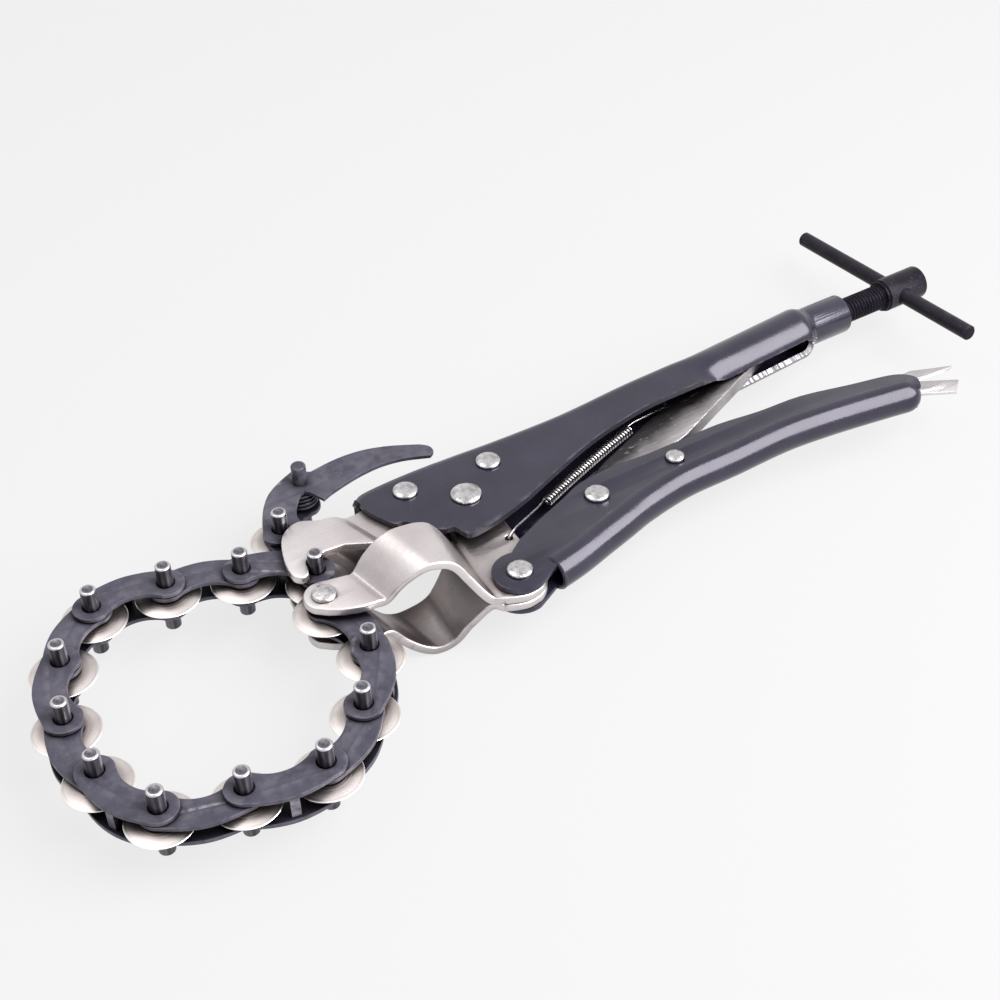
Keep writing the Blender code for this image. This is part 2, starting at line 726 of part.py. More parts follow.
def make_lower_handle():
    axis = shaped(BEAD_SHARES, LEVER_REACH, LEVER_DROP)
    edge = shaped(LOWER_EDGE_SHARES, LEVER_REACH, LEVER_DROP)
    seat = [point - Vector((0, BEAD_SEAT)) for point in reversed(axis)]
    lug = arc(REAR_PIVOT, LEVER_LUG_RADIUS, 285, 75, 2 * END_STEPS)
    body = prism([*lug, *edge, *seat], -LEVER_HIGH, LEVER_HIGH)
    ahead = (axis[-1] - axis[-2]).normalized()
    turns = [math.radians(angle) for angle in (30, 60, 80)]
    rounded = [axis[-1] + ahead * BEAD_RADIUS * math.sin(angle) for angle in turns]
    swells = [1] * len(axis) + [math.cos(angle) for angle in turns]
    bead = tube([(x, y, 0) for x, y in (*axis, *rounded)], BEAD_RADIUS, 3, swells)
    body = combine(body, [bead], "UNION")
    before = axis[0] * 2 - axis[1]
    bore = tube([(x, y, 0) for x, y in (before, *axis)], BEAD_RADIUS - BEAD_WALL, 2)
    top = OVERRUN
    left = REAR_PIVOT.x - LEVER_LUG_RADIUS - OVERRUN
    mouth = axis[0].x - GAP
    low = REAR_PIVOT.y - LEVER_LUG_RADIUS - OVERRUN
    right = LEVER_REACH + OVERRUN
    floor = [point + Vector((0, GAP)) for point in axis]
    corners = [(left, top), (left, low), (mouth, low), (mouth, floor[0].y)]
    hollow = [*(Vector(corner) for corner in corners), *floor]
    step = floor.pop() - Vector((BEAD_WALL, 0))
    recess = [step, step - Vector((0, TIP_ROOM)), Vector((right, step.y - TIP_ROOM))]
    hollow = [*hollow[:-1], *recess, Vector((right, top))]
    cavity = prism(hollow, -LEVER_LOW, LEVER_LOW)
    holes = [
        prism(circle(place, radius + GAP), -LEVER_HIGH - OVERRUN, LEVER_HIGH + OVERRUN)
        for place, radius in (
            (REAR_PIVOT, RIVET_SHAFT_RADIUS),
            (TOGGLE_PIVOT, RIVET_SHAFT_RADIUS),
            (RELEASE_PIVOT, SMALL_SHAFT_RADIUS),
        )
    ]
    body = combine(body, [bore, cavity, *holes], "DIFFERENCE")
    add_piece("lower_handle", body, "black_enamel", REAR_PIVOT)


def make_toggle_link():
    nose = TOGGLE_PIVOT + Vector((TOGGLE_REACH, TOGGLE_RISE))
    outline = [
        *arc(TOGGLE_PIVOT, TOGGLE_LUG_RADIUS, 330, 120, END_STEPS),
        *shaped(TOGGLE_TOP_SHARES, TOGGLE_REACH, TOGGLE_RISE, TOGGLE_PIVOT),
        *arc(nose, TOGGLE_NOSE_RADIUS, 110, -60, END_STEPS),
        *shaped(TOGGLE_LOW_SHARES, TOGGLE_REACH, TOGGLE_RISE, TOGGLE_PIVOT),
    ]
    body = prism(outline, -TOGGLE_HALF, TOGGLE_HALF, [circle(TOGGLE_PIVOT, RIVET_SHAFT_RADIUS + GAP)])
    add_piece("toggle_link", body, "bright_steel", TOGGLE_PIVOT)
    return nose


def make_release_lever():
    top = shaped(RELEASE_TOP_SHARES, RELEASE_REACH, RELEASE_DROP, RELEASE_PIVOT)
    low = shaped(RELEASE_LOW_SHARES, RELEASE_REACH, RELEASE_DROP, RELEASE_PIVOT)
    inside = RELEASE_HIGH - RELEASE_SHEET
    hole = [circle(RELEASE_PIVOT, SMALL_SHAFT_RADIUS + GAP)]
    upper = shaped(UPPER_PRONG_SHARES, RELEASE_REACH, RELEASE_DROP, RELEASE_PIVOT)
    lower = shaped(LOWER_PRONG_SHARES, RELEASE_REACH, RELEASE_DROP, RELEASE_PIVOT)
    body = prism([*top, *upper, *low], inside, RELEASE_HIGH, hole)
    under = prism([*top, *lower, *low], -RELEASE_HIGH, -inside, hole)
    crest = shaped(RELEASE_WEB_SHARES, RELEASE_REACH, RELEASE_DROP, RELEASE_PIVOT)
    shift = Vector((0, RELEASE_SHEET / 4))
    floor = [point - Vector((0, RELEASE_SHEET)) for point in reversed(crest)]
    reach = inside + RELEASE_SHEET / 2
    web = prism([*(point - shift for point in crest), *floor], -reach, reach)
    body = combine(body, [web, under], "UNION")
    add_piece("release_lever", body, "bright_steel", RELEASE_PIVOT)


def make_screw(nose):
    tip = nose.x + TOGGLE_NOSE_RADIUS + TOGGLE_CLEARANCE
    root = SCREW_RADIUS - THREAD_DEPTH
    thread_end = HANDLE_REACH + THREAD_SHOWN
    head_start = thread_end + COLLAR_LENGTH
    head_end = head_start + SCREW_HEAD_LENGTH
    profile = [
        (0, head_end),
        (SCREW_HEAD_RADIUS - SCREW_CHAMFER, head_end),
        (SCREW_HEAD_RADIUS, head_end - SCREW_CHAMFER),
        (SCREW_HEAD_RADIUS, head_start),
        (COLLAR_RADIUS, head_start),
        (COLLAR_RADIUS, thread_end),
        (root, thread_end),
    ]
    ridges = int(THREAD_SHOWN / THREAD_PITCH)
    for n in range(ridges):
        crest = thread_end - (n + 0.5) * THREAD_PITCH
        profile += [(SCREW_RADIUS, crest), (root, crest - THREAD_PITCH / 2)]
    profile += [(SCREW_RADIUS, profile[-1][1] - THREAD_PITCH / 2)]
    profile += [(SCREW_RADIUS, tip + SCREW_CHAMFER), (root, tip), (0, tip)]
    body = turn_along_x(turned(profile, ROUND_SEGMENTS), (0, SCREW_AXIS_Y, 0))
    bar_x = head_start + BAR_INSET
    drill = make_bar(bar_x, BAR_RADIUS + GAP, 4 * SCREW_HEAD_RADIUS, 0)
    body = combine(body, [drill], "DIFFERENCE")
    add_piece("adjusting_screw", body, "black_oxide", (tip, SCREW_AXIS_Y))
    bar = make_bar(bar_x, BAR_RADIUS, BAR_LENGTH, BAR_SLID)
    add_piece("t_bar", bar, "black_oxide", (bar_x, SCREW_AXIS_Y))


def make_bar(bar_x, radius, length, slid):
    """A round bar across the screw's head."""
    half = length / 2
    chamfer = SCREW_CHAMFER / 2
    profile = [(0, half), (radius - chamfer, half), (radius, half - chamfer)]
    profile += [(r, -z) for r, z in reversed(profile)]
    bar = turned(profile, ROUND_SEGMENTS)
    lean = Matrix.Rotation(math.radians(BAR_ROLL), 4, "X") @ Matrix.Rotation(-math.pi / 2, 4, "X")
    bar.data.transform(Matrix.Translation((bar_x, SCREW_AXIS_Y, 0)) @ lean @ Matrix.Translation((0, 0, slid)))
    return bar


def link_outline(bulge=LINK_BULGE):
    """Plate outline from one pin to the next: bulged outside, scalloped inside."""
    end = Vector((PITCH, 0))
    inner = [Vector((x * PITCH, dip * LINK_SCALLOP - LINK_END_RADIUS)) for x, dip in SCALLOP_SHARES]
    outer = [Vector((x * PITCH, LINK_END_RADIUS + rise * bulge)) for x, rise in BULGE_SHARES]
    return [
        *arc((0, 0), LINK_END_RADIUS, 105, 300, LINK_STEPS),
        *inner,
        *arc(end, LINK_END_RADIUS, -120, 75, LINK_STEPS),
        *outer,
    ]


def spacer(start, heading):
    """Block between the two plates of an outer link, at the middle of its outer edge."""
    centre = PITCH / 2
    outside = LINK_END_RADIUS - SPACER_INSET
    inside = outside - SPACER_DEPTH
    half = SPACER_WIDTH / 2
    left, right = centre - half, centre + half
    corners = [(left, inside), (right, inside), (right, outside), (left, outside)]
    reach = OUTER_LOW + LINK_SHEET / 2
    block = prism(corners, -reach, reach)
    block.data.transform(Matrix.Translation((*start, 0)) @ Matrix.Rotation(math.radians(heading), 4, "Z"))
    return block


def link_drills(reach):
    return [prism(circle((x, 0), PIN_RADIUS + GAP), -reach, reach) for x in (0, PITCH)]


def make_inner_link(bulge):
    """Two plates on two bushes, along x from the first pin."""
    outline = link_outline(bulge)
    inner = prism(outline, INNER_LOW, INNER_HIGH)
    tools = [prism(outline, -INNER_HIGH, -INNER_LOW)]
    reach = INNER_LOW + LINK_SHEET / 2
    bush_radius = PIN_RADIUS + GAP + BUSH_WALL
    tools += [prism(circle((x, 0), bush_radius), -reach, reach) for x in (0, PITCH)]
    inner = combine(inner, tools, "UNION")
    return combine(inner, link_drills(INNER_HIGH + OVERRUN), "DIFFERENCE")


def make_outer_link():
    """Two plates and the spacer between them, along x from the first pin."""
    outline = link_outline()
    outer = prism(outline, OUTER_LOW, OUTER_HIGH)
    outer = combine(outer, [prism(outline, -OUTER_HIGH, -OUTER_LOW), spacer((0, 0), 0)], "UNION")
    return combine(outer, link_drills(OUTER_HIGH + OVERRUN), "DIFFERENCE")


def make_chain(pins):
    links = {
        "inner": make_inner_link(LINK_BULGE),
        "outer": make_outer_link(),
        "folded": make_inner_link(FOLD_BULGE),
    }
    names = list(pins)
    for n in range(len(names) - 2):
        kind = "inner" if n % 2 == 0 else "outer"
        link = links["folded" if names[n] == "hook" else kind]
        turn = Matrix.Rotation(math.radians(HEADINGS[n]), 4, "Z")
        placing = Matrix.Translation((*pins[names[n]], 0)) @ turn
        add_copy(f"{kind}_link_{names[n]}_{names[n + 1]}", link.data, "black_steel", placing)
    for obj in links.values():
        bpy.data.objects.remove(obj, do_unlink=True)
    wheel = turned(
        [
            (PIN_RADIUS + 2 * GAP + BUSH_WALL, -WHEEL_HUB_HALF),
            (PIN_RADIUS + 2 * GAP + BUSH_WALL, WHEEL_HUB_HALF),
            (WHEEL_HUB_RADIUS, WHEEL_HUB_HALF),
            (WHEEL_RADIUS, 0),
            (WHEEL_HUB_RADIUS, -WHEEL_HUB_HALF),
        ],
        WHEEL_SEGMENTS,
        closed=True,
    )
    shifts = {"jaw": WHEEL_SHIFT, "hook": -WHEEL_SHIFT}
    for name in names[:-1]:
        placing = Matrix.Translation((*pins[name], shifts.get(name, 0)))
        add_copy(f"cutter_wheel_{name}", wheel.data, "wheel_steel", placing)
    bpy.data.objects.remove(wheel, do_unlink=True)
    half = [(0, PIN_HALF), (PIN_RADIUS - PIN_CHAMFER, PIN_HALF), (PIN_RADIUS, PIN_HALF - PIN_CHAMFER)]
    pin = turned([*half, *((r, -z) for r, z in reversed(half))], PIN_SEGMENTS)
    for name in names[1:-1]:
        add_copy(f"chain_pin_{name}", pin.data, "gunmetal", Matrix.Translation((*pins[name], 0)))
    make_finger(pins, pin)


def make_finger(pins, pin):
    """Tail link: a curved finger plate over a plain plate, with the last pin riveted in."""
    start = pins["l"]
    heading = HEADINGS[-1]
    hole = circle(start, PIN_RADIUS + GAP)
    outline = [
        *arc(start, FINGER_END_RADIUS, 345, 195, END_STEPS),
        *shaped(FINGER_SHARES, FINGER_REACH, FINGER_RISE, start),
    ]
    finger = prism(outline, OUTER_LOW, OUTER_HIGH, [hole])
    under = prism(link_outline(), -OUTER_HIGH, -OUTER_LOW, [circle((0, 0), PIN_RADIUS + GAP)])
    under.data.transform(Matrix.Translation((*start, 0)) @ Matrix.Rotation(math.radians(heading), 4, "Z"))
    pin.data = pin.data.copy()
    pin.data.transform(Matrix.Translation((*pins["m"], 0)))
    body = combine(finger, [under, spacer(start, heading), pin], "UNION")
    add_piece("tail_finger", body, "black_steel", start)


def coil_points(path, radius, turns, phase=0.0):
    """Points of a helix round a path, a function from the share run to place and direction."""
    points = []
    for n in range(turns * TURN_POINTS + 1):
        share = n / (turns * TURN_POINTS)
        place, along = path(share)
        side = Vector((-along.y, along.x, 0))
        angle = 2 * math.pi * n / TURN_POINTS + phase
        points.append(place + radius * (side * math.cos(angle) + Vector((0, 0, 1)) * math.sin(angle)))
    return points


def make_jaw_spring():
    """Tension spring from the moving jaw's hole into the upper handle."""
    start, middle, end = (Vector((*place, 0)) for place in (SPRING_START, SPRING_MIDDLE, SPRING_END))
    pull = 2 * middle - (start + end) / 2

    def path(share):
        place = (1 - share) ** 2 * start + 2 * share * (1 - share) * pull + share**2 * end
        along = 2 * (1 - share) * (pull - start) + 2 * share * (end - pull)
        return place, along.normalized()

    radius = (SPRING_DIAMETER - SPRING_WIRE) / 2
    turns = coil_points(path, radius, SPRING_TURNS)
    clear = least_gap(turns, SPRING_WIRE, TURN_POINTS - 1)
    print("jaw spring, least gap to itself in mm:", round(clear / MM, 3))
    over = MOVING_HIGH + GAP + SPRING_WIRE / 2
    hole = Vector((*SPRING_HOLE, 0))
    lean = (turns[0] - hole).normalized()
    ahead = Vector((lean.x, lean.y, 0))
    first = [
        hole - Vector((0, 0, over)),
        hole + Vector((0, 0, over - SPRING_WIRE)),
        hole + Vector((0, 0, over)) + ahead * SPRING_WIRE,
        hole + Vector((0, 0, over)) + ahead * SPRING_SHANK,
        turns[0] - ahead * SPRING_DIAMETER,
    ]
    _, along = path(1)
    back = [y for x, y in shaped(UPPER_BACK_SHARES, HANDLE_REACH, BACK_RISE) if x < SPRING_ANCHOR_X]
    ceiling = back[-1] - HANDLE_SHEET - GAP
    level = turns[-1].z
    last = [
        turns[-1] + along * SPRING_DIAMETER,
        Vector((SPRING_ANCHOR_X - SPRING_DIAMETER, ceiling / 2, level)),
        Vector((SPRING_ANCHOR_X, ceiling - SPRING_WIRE, level)),
    ]
    add_piece("jaw_spring", tube([*first, *turns, *last], SPRING_WIRE / 2), "zinc_spring")


def make_tail_spring(centre):
    """Torsion coil round the last pin, with a short leg."""
    height = 2 * (OUTER_LOW - GAP) - TAIL_WIRE
    steps = TAIL_TURNS * TURN_POINTS
    points = [
        Vector(
            (
                centre.x + TAIL_COIL_RADIUS * math.cos(2 * math.pi * n / TURN_POINTS),
                centre.y + TAIL_COIL_RADIUS * math.sin(2 * math.pi * n / TURN_POINTS),
                height * (n / steps - 0.5),
            )
        )
        for n in range(steps + 1)
    ]
    clear = least_gap(points, TAIL_WIRE, TURN_POINTS - 1)
    print("tail spring, least gap to itself in mm:", round(clear / MM, 3))
    leg = points[-1] + Vector((0, TAIL_LEG, 0))
    foot = points[0] - Vector((0, TAIL_WIRE, 0))
    add_piece("tail_spring", tube([foot, *points, leg], TAIL_WIRE / 2), "black_steel", centre)


clear_scene()
PARTS = bpy.data.collections.new("chain_pipe_cutter")
bpy.context.scene.collection.children.link(PARTS)
MID_PLANE = bpy.data.objects.new("tool_mid_plane", None)
PARTS.objects.link(MID_PLANE)
MID_PLANE.location = (0, 0, MID_HEIGHT)

pin_places = chain_pins()
make_upper_handle()
make_moving_jaw()
make_fixed_jaw(pin_places["hook"])
make_lower_handle()
make_release_lever()
make_screw(make_toggle_link())
make_chain(pin_places)
make_jaw_spring()
make_tail_spring(pin_places["m"])
make_rivet("main_pivot_rivet", Vector((0, 0)), MAIN_SHAFT_RADIUS, CHEEK_HIGH + GAP, flat_below=True)
make_rivet("front_jaw_rivet", FRONT_RIVET, RIVET_SHAFT_RADIUS, CHEEK_HIGH + GAP)
make_rivet("upper_jaw_rivet", UPPER_RIVET, RIVET_SHAFT_RADIUS, CHEEK_HIGH + GAP)
make_rivet("rear_pivot_rivet", REAR_PIVOT, RIVET_SHAFT_RADIUS, LEVER_HIGH + GAP)
make_rivet("toggle_rivet", TOGGLE_PIVOT, RIVET_SHAFT_RADIUS, LEVER_HIGH + GAP)
make_rivet("release_rivet", RELEASE_PIVOT, SMALL_SHAFT_RADIUS, LEVER_HIGH + GAP)
make_rivet("jaw_pin", JAW_PIN, PIN_RADIUS, FRONT_HIGH + GAP)
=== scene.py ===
"""Looks of the chain pipe cutter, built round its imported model.

Every piece is made round the tool's mid-plane and then raised to it. x runs along the upper handle,
y from the lower handle to the upper one, and z across the sheet pieces.
"""

import json
import math

import bmesh
import bpy
from mathutils import Matrix, Vector


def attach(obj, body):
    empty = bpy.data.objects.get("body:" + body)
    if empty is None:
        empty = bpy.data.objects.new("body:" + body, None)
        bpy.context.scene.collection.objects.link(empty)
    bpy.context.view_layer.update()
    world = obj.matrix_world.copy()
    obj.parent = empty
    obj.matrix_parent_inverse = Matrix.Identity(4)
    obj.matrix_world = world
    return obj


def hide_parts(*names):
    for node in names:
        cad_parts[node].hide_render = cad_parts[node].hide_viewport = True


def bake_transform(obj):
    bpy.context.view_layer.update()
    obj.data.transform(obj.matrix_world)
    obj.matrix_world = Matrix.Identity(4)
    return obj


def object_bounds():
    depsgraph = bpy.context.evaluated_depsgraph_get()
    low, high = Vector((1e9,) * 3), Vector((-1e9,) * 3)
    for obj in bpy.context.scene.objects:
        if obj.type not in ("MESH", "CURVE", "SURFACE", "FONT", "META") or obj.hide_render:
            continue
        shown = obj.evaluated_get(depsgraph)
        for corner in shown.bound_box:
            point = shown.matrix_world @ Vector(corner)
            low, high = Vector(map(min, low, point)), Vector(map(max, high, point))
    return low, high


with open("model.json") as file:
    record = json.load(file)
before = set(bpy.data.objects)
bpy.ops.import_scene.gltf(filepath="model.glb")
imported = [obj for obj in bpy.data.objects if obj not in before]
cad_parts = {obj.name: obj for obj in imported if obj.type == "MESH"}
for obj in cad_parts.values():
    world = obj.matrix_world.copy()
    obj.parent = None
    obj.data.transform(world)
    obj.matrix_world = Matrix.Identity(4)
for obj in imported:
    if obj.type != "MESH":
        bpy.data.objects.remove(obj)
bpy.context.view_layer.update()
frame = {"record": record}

MM = 0.001
GAP = 0.3 * MM
WELD = 0.0005 * MM
EDGE = 0.3 * MM  # rounding of sheet edges

# Chain, all headings in degrees
PITCH = 25.0 * MM
WHEEL_RADIUS = 11.0 * MM
WHEEL_SHIFT = 0.8 * MM  # of the wheels beside the jaws, off the mid-plane
PIN_RADIUS = 2.65 * MM
PIN_HALF = 13.5 * MM
PIN_HOLE = PIN_RADIUS + GAP
LINK_END = 6.3 * MM
LINK_BULGE = 2.8 * MM
LINK_SCALLOP = 4.6 * MM
WHEEL_TURN, PIN_TURN = 1.7, 2.1  # radians from one's facets to the next one's
FOLD_BULGE = 0.1 * MM  # of the link folded back over the post before it
POST_WIDTH, POST_DEPTH = 3.0 * MM, 1.6 * MM
POST_OUT = LINK_END + LINK_BULGE - 1.2 * MM  # the post's outer side
FOLDED_POST_OUT = LINK_END - 2.0 * MM  # with room for the fold
HEADINGS = (-84, -123, -145, -189.5, -197, -246.5, -270, -289.5, -315, -366.5, -378, -395, -268.5, -312.5)
PIN_NAMES = ("jaw", "k", "j", "i", "h", "g", "f", "e", "d", "c", "b", "a", "hook", "l", "m")

# Pliers
JAW_PIN = Vector((-64.2 * MM, -17.6 * MM))
REAR_PIVOT = Vector((-3.5 * MM, -39.4 * MM))
TOGGLE_PIVOT = Vector((39.4 * MM, -21.6 * MM))
RELEASE_PIVOT = Vector((73.7 * MM, -20.2 * MM))
FRONT_RIVET = Vector((-16.5 * MM, 13.1 * MM))
UPPER_RIVET = Vector((15.7 * MM, 11.0 * MM))
MAIN_HOLE, RIVET_HOLE, SMALL_HOLE = 4.3 * MM, 3.3 * MM, 2.3 * MM  # radii
MAIN_SHAFT, RIVET_SHAFT, SMALL_SHAFT = 4.0 * MM, 3.0 * MM, 2.0 * MM  # radii
RIVET_TURN = 900  # radians that a rivet's facets turn per metre along x
HEAD_RIM = 1.4 * MM  # how far a rivet's head stands out past its shaft
MAIN_LUG, UPPER_LUG, FRONT_LUG, JAW_LUG = 9.0 * MM, 7.0 * MM, 6.0 * MM, 6.8 * MM  # radii
REAR_LUG, TOGGLE_LUG, FINGER_LUG = 9.5 * MM, 7.0 * MM, 7.6 * MM
HANDLE_SHEET = 2.0 * MM
HANDLE_REACH = 185.5 * MM
BACK_RISE = 30.0 * MM
BACK_ROUNDING = 5.0 * MM
TUBE_RADIUS = 10.0 * MM
TUBE_LEAN = math.tan(math.radians(4.3))  # of the rolled tube against the screw
TUBE_DROP = 1.0 * MM  # tube's axis under the screw's, if it ran on to NECK_START
NECK_RADIUS = 7.6 * MM
TUBE_START, TUBE_FULL = 103.0 * MM, 120.0 * MM  # the cheeks roll into the tube between these
NECK_CONE, NECK_START = 162.0 * MM, 168.0 * MM
SEAM_HALF = 3.7 * MM
SEAM_END, SEAM_SHUT = 160.0 * MM, 165.0 * MM
SOCKET_START = 163.0 * MM  # of the solid ring in the neck
SOCKET_FULL = 166.0 * MM
SCREW_AXIS_Y = 21.8 * MM
SCREW_RADIUS = 5.0 * MM
THREAD_PITCH = 1.5 * MM
THREAD_DEPTH = 0.6 * MM
THREAD_END = 205.5 * MM
HEAD_START = 207.0 * MM
HEAD_END = 226.0 * MM
HEAD_RADIUS = 6.5 * MM
COLLAR_RADIUS = 6.0 * MM
BAR_RADIUS = 3.0 * MM
BAR_LENGTH = 98.0 * MM
BAR_SLID = 6.8 * MM
BAR_ROLL = -4.5  # degrees
BAR_X = 214.0 * MM
LEVER_REACH = 176.0 * MM
LEVER_DROP = 48.0 * MM
BEAD_RADIUS = 6.2 * MM
BEAD_WALL = 2.0 * MM
BEAD_LIP = 0.5 * MM
CHANNEL_SPARE = 4.0 * MM  # how far the release lever's channel runs past the bead, and its top's y
CHANNEL_STEP = 3.2 * MM
HOOK_HEIGHT = 25.0 * MM
BUSH_WALL = 0.8 * MM
ARCH_CREST = 20.2 * MM
ARCH_REACH = 50.0 * MM
ARCH_FAR = -13.0 * MM  # the arch's folds are set out along these two lines
ARCH_NEAR = -35.0 * MM
JOGGLE = 38.3 * MM
JOGGLE_RUN = 3.8 * MM
JOGGLE_SPARE = 1.2 * MM
HOOK_TILT = math.radians(16.0)
HOOK_SEAT_GAP = 0.5 * MM
FIXED_START, FIXED_END = -96.0 * MM, 96.0 * MM  # past the plate's ends
MOVING_START, MOVING_END = -90.0 * MM, 60.0 * MM
FOLD_FLAT = 4.0 * MM  # flat run before and after the arch
JAW_SHEET = 3.0 * MM
TOGGLE_REACH = 109.6 * MM
TOGGLE_RISE = 41.1 * MM
TOGGLE_HALF = 2.9 * MM
TOGGLE_NOSE = 1.4 * MM
TOGGLE_CLEARANCE = 3.7 * MM  # nose's centre to the screw's tip
RELEASE_REACH = 121.8 * MM
RELEASE_DROP = 20.0 * MM
FINGER_REACH = 65.0 * MM
FINGER_RISE = 25.0 * MM

# Springs
SPRING_HOLE = Vector((3.6 * MM, -21.4 * MM, 0))
SPRING_HOLE_RADIUS = 1.3 * MM
COIL_START = Vector((26.5 * MM, -9.8 * MM, 0))
COIL_MIDDLE = Vector((50.0 * MM, -0.6 * MM, 0))
COIL_END = Vector((74.0 * MM, 7.4 * MM, 0))
COIL_RADIUS, COIL_WIRE, COIL_TURNS = 1.6 * MM, 0.8 * MM, 36
SHANK, SHANK_LEAD = 5.2 * MM, 4.0 * MM
ANCHOR_LEAD_X, ANCHOR_BACK_X, ANCHOR_X = 93.0 * MM, 95.0 * MM, 97.0 * MM
TAIL_COIL_RADIUS, TAIL_WIRE, TAIL_TURNS, TAIL_ARM = 5.0 * MM, 1.2 * MM, 4, 9.0 * MM

# Levels over the mid-plane
INNER_LOW, INNER_HIGH = 2.4 * MM, 4.0 * MM
OUTER_LOW, OUTER_HIGH = 4.3 * MM, 5.9 * MM
FRONT_MIDDLE = 7.7 * MM
MOVING_MIDDLE = 1.65 * MM
FIXED_MIDDLE = 4.95 * MM
CHEEK_HIGH = 8.75 * MM
LEVER_LOW, LEVER_HIGH = 3.45 * MM, 5.45 * MM
RELEASE_HIGH = 3.15 * MM
RELEASE_SHEET = 1.3 * MM
HEAD_HEIGHT = 1.5 * MM
MID_HEIGHT = 10.55 * MM

UPPER_BACK_SHARES = (
    (-0.1757, 0.707), (-0.159, 0.773), (-0.1186, 0.8), (-0.0631, 0.81), (-0.0075, 0.803), (0.0534, 0.787),
    (0.1148, 0.763), (0.1935, 0.747), (0.2695, 0.743), (0.3326, 0.763), (0.4394, 0.813), (0.5407, 0.833),
    (0.6038, 0.84), (0.6685, 0.86), (0.9, 0.9),
)
UPPER_EDGE_SHARES = (
    (-0.1757, 0.45), (-0.1709, 0.307), (-0.1499, 0.013), (-0.1305, -0.023), (-0.0889, -0.35),
    (-0.0647, -0.4), (-0.0588, -0.517), (-0.0485, -0.607), (-0.0102, -0.593), (0.0291, -0.543),
    (0.09, -0.43), (0.1321, -0.327), (0.1903, -0.187), (0.2512, -0.047), (0.31, 0.063), (0.366, 0.137),
    (0.4205, 0.197), (0.4739, 0.223), (0.5229, 0.227), (0.5714, 0.233), (0.6038, 0.273), (0.6361, 0.343),
    (0.6685, 0.433), (0.9, 0.5),
)
LOWER_EDGE_SHARES = (
    (0.028, -0.544), (0.091, -0.442), (0.161, -0.348), (0.198, -0.29), (0.235, -0.26), (0.303, -0.242),
    (0.364, -0.267), (0.456, -0.273), (0.556, -0.277), (0.652, -0.323), (0.757, -0.35), (0.868, -0.45),
    (0.955, -0.525), (0.989, -0.594), (1.0, -0.677), (0.989, -0.76),
)
BEAD_SHARES = (
    (0.048, -0.871), (0.107, -0.827), (0.171, -0.76), (0.236, -0.694), (0.303, -0.625), (0.41, -0.5625),
    (0.533, -0.56), (0.667, -0.548), (0.788, -0.59), (0.907, -0.658), (0.963, -0.694),
)
JAW_NEAR_SHARES = (
    (-1.036, -0.62), (-0.969, -0.685), (-0.861, -0.745), (-0.735, -0.765), (-0.674, -0.8),
    (-0.606, -0.845), (-0.503, -0.9), (-0.431, -0.928), (-0.374, -0.96), (-0.321, -1.025),
    (-0.248, -1.11), (-0.188, -1.18), (-0.098, -1.235), (-0.02, -1.225), (0.016, -1.198),
    (0.053, -1.147), (0.078, -1.079), (0.088, -0.99), (0.1, -0.614), (0.112, -0.325),
)
JAW_FAR_SHARES = (
    (-0.179, -0.335), (-0.312, -0.345), (-0.467, -0.335), (-0.623, -0.32), (-0.745, -0.302),
    (-0.829, -0.335),
)
# Reach along the far line, reach along the near line, and height
ARCH_SHARES = (
    (0.287, 0.323, 0.0), (0.386, 0.437, 0.487), (0.432, 0.481, 0.697), (0.481, 0.524, 0.854),
    (0.558, 0.576, 0.953), (0.672, 0.639, 1.0), (0.753, 0.69, 0.991), (0.837, 0.761, 0.883),
    (0.914, 0.844, 0.662), (1.004, 0.927, 0.353),
)
# Along the link, and down its scallop or up its bulge
SCALLOP_SHARES = ((0.2, 0.52), (0.35, 0.89), (0.5, 1.0), (0.65, 0.89), (0.8, 0.52))
BULGE_SHARES = ((0.78, 0.69), (0.5, 1.0), (0.22, 0.69))
HOOK_OUTER_SHARES = (
    (0.948, 0.676), (0.788, 0.68), (0.456, 0.72), (0.232, 0.844), (0.072, 0.844), (-0.076, 0.764),
    (-0.184, 0.632), (-0.272, 0.44), (-0.348, 0.192), (-0.376, -0.036), (-0.336, -0.136), (-0.268, -0.18),
    (-0.18, -0.15),
)
HOOK_INNER_SHARES = ((0.2, 0.128), (0.488, 0.096), (0.816, -0.092))
NECK_SHARES = (-0.37, -0.14)
TOGGLE_TOP_SHARES = (
    (0.06, 0.287), (0.115, 0.372), (0.188, 0.452), (0.279, 0.55), (0.37, 0.647), (0.48, 0.735),
    (0.608, 0.765), (0.776, 0.77),
)
TOGGLE_LOW_SHARES = ((0.78, 0.693), (0.407, 0.26), (0.188, 0.209))
RELEASE_TOP_SHARES = (
    (-0.078, 0.14), (-0.033, 0.25), (0.025, 0.28), (0.1, 0.275), (0.23, 0.19), (0.46, 0.06), (0.64, -0.13),
    (0.79, -0.245), (0.863, -0.26),
)
RELEASE_LOW_SHARES = (
    (0.79, -0.475), (0.62, -0.35), (0.38, -0.25), (0.08, -0.225), (0.0, -0.24), (-0.066, -0.075),
)
UPPER_PRONG_SHARES = ((0.93, -0.43), (0.99, -0.57), (0.972, -0.61), (0.858, -0.53))
LOWER_PRONG_SHARES = ((1.0, -0.74), (0.952, -1.0), (0.845, -0.64))
RELEASE_WEB_SHARES = ((0.1, 0.275), (0.23, 0.19), (0.46, 0.06), (0.64, -0.13), (0.76, -0.22))
WHEEL_HALF = ((4.05, 1.3), (5.6, 1.3), (6.2, 1.18), (10.2, 0.3), (10.85, 0.13))  # radius, height; mm
PIN_RIM = ((0.0, 0.12), (1.4, 0.1), (1.7, 0.0), (2.1, 0.0), (2.45, 0.2))  # radius, fall from the end; mm
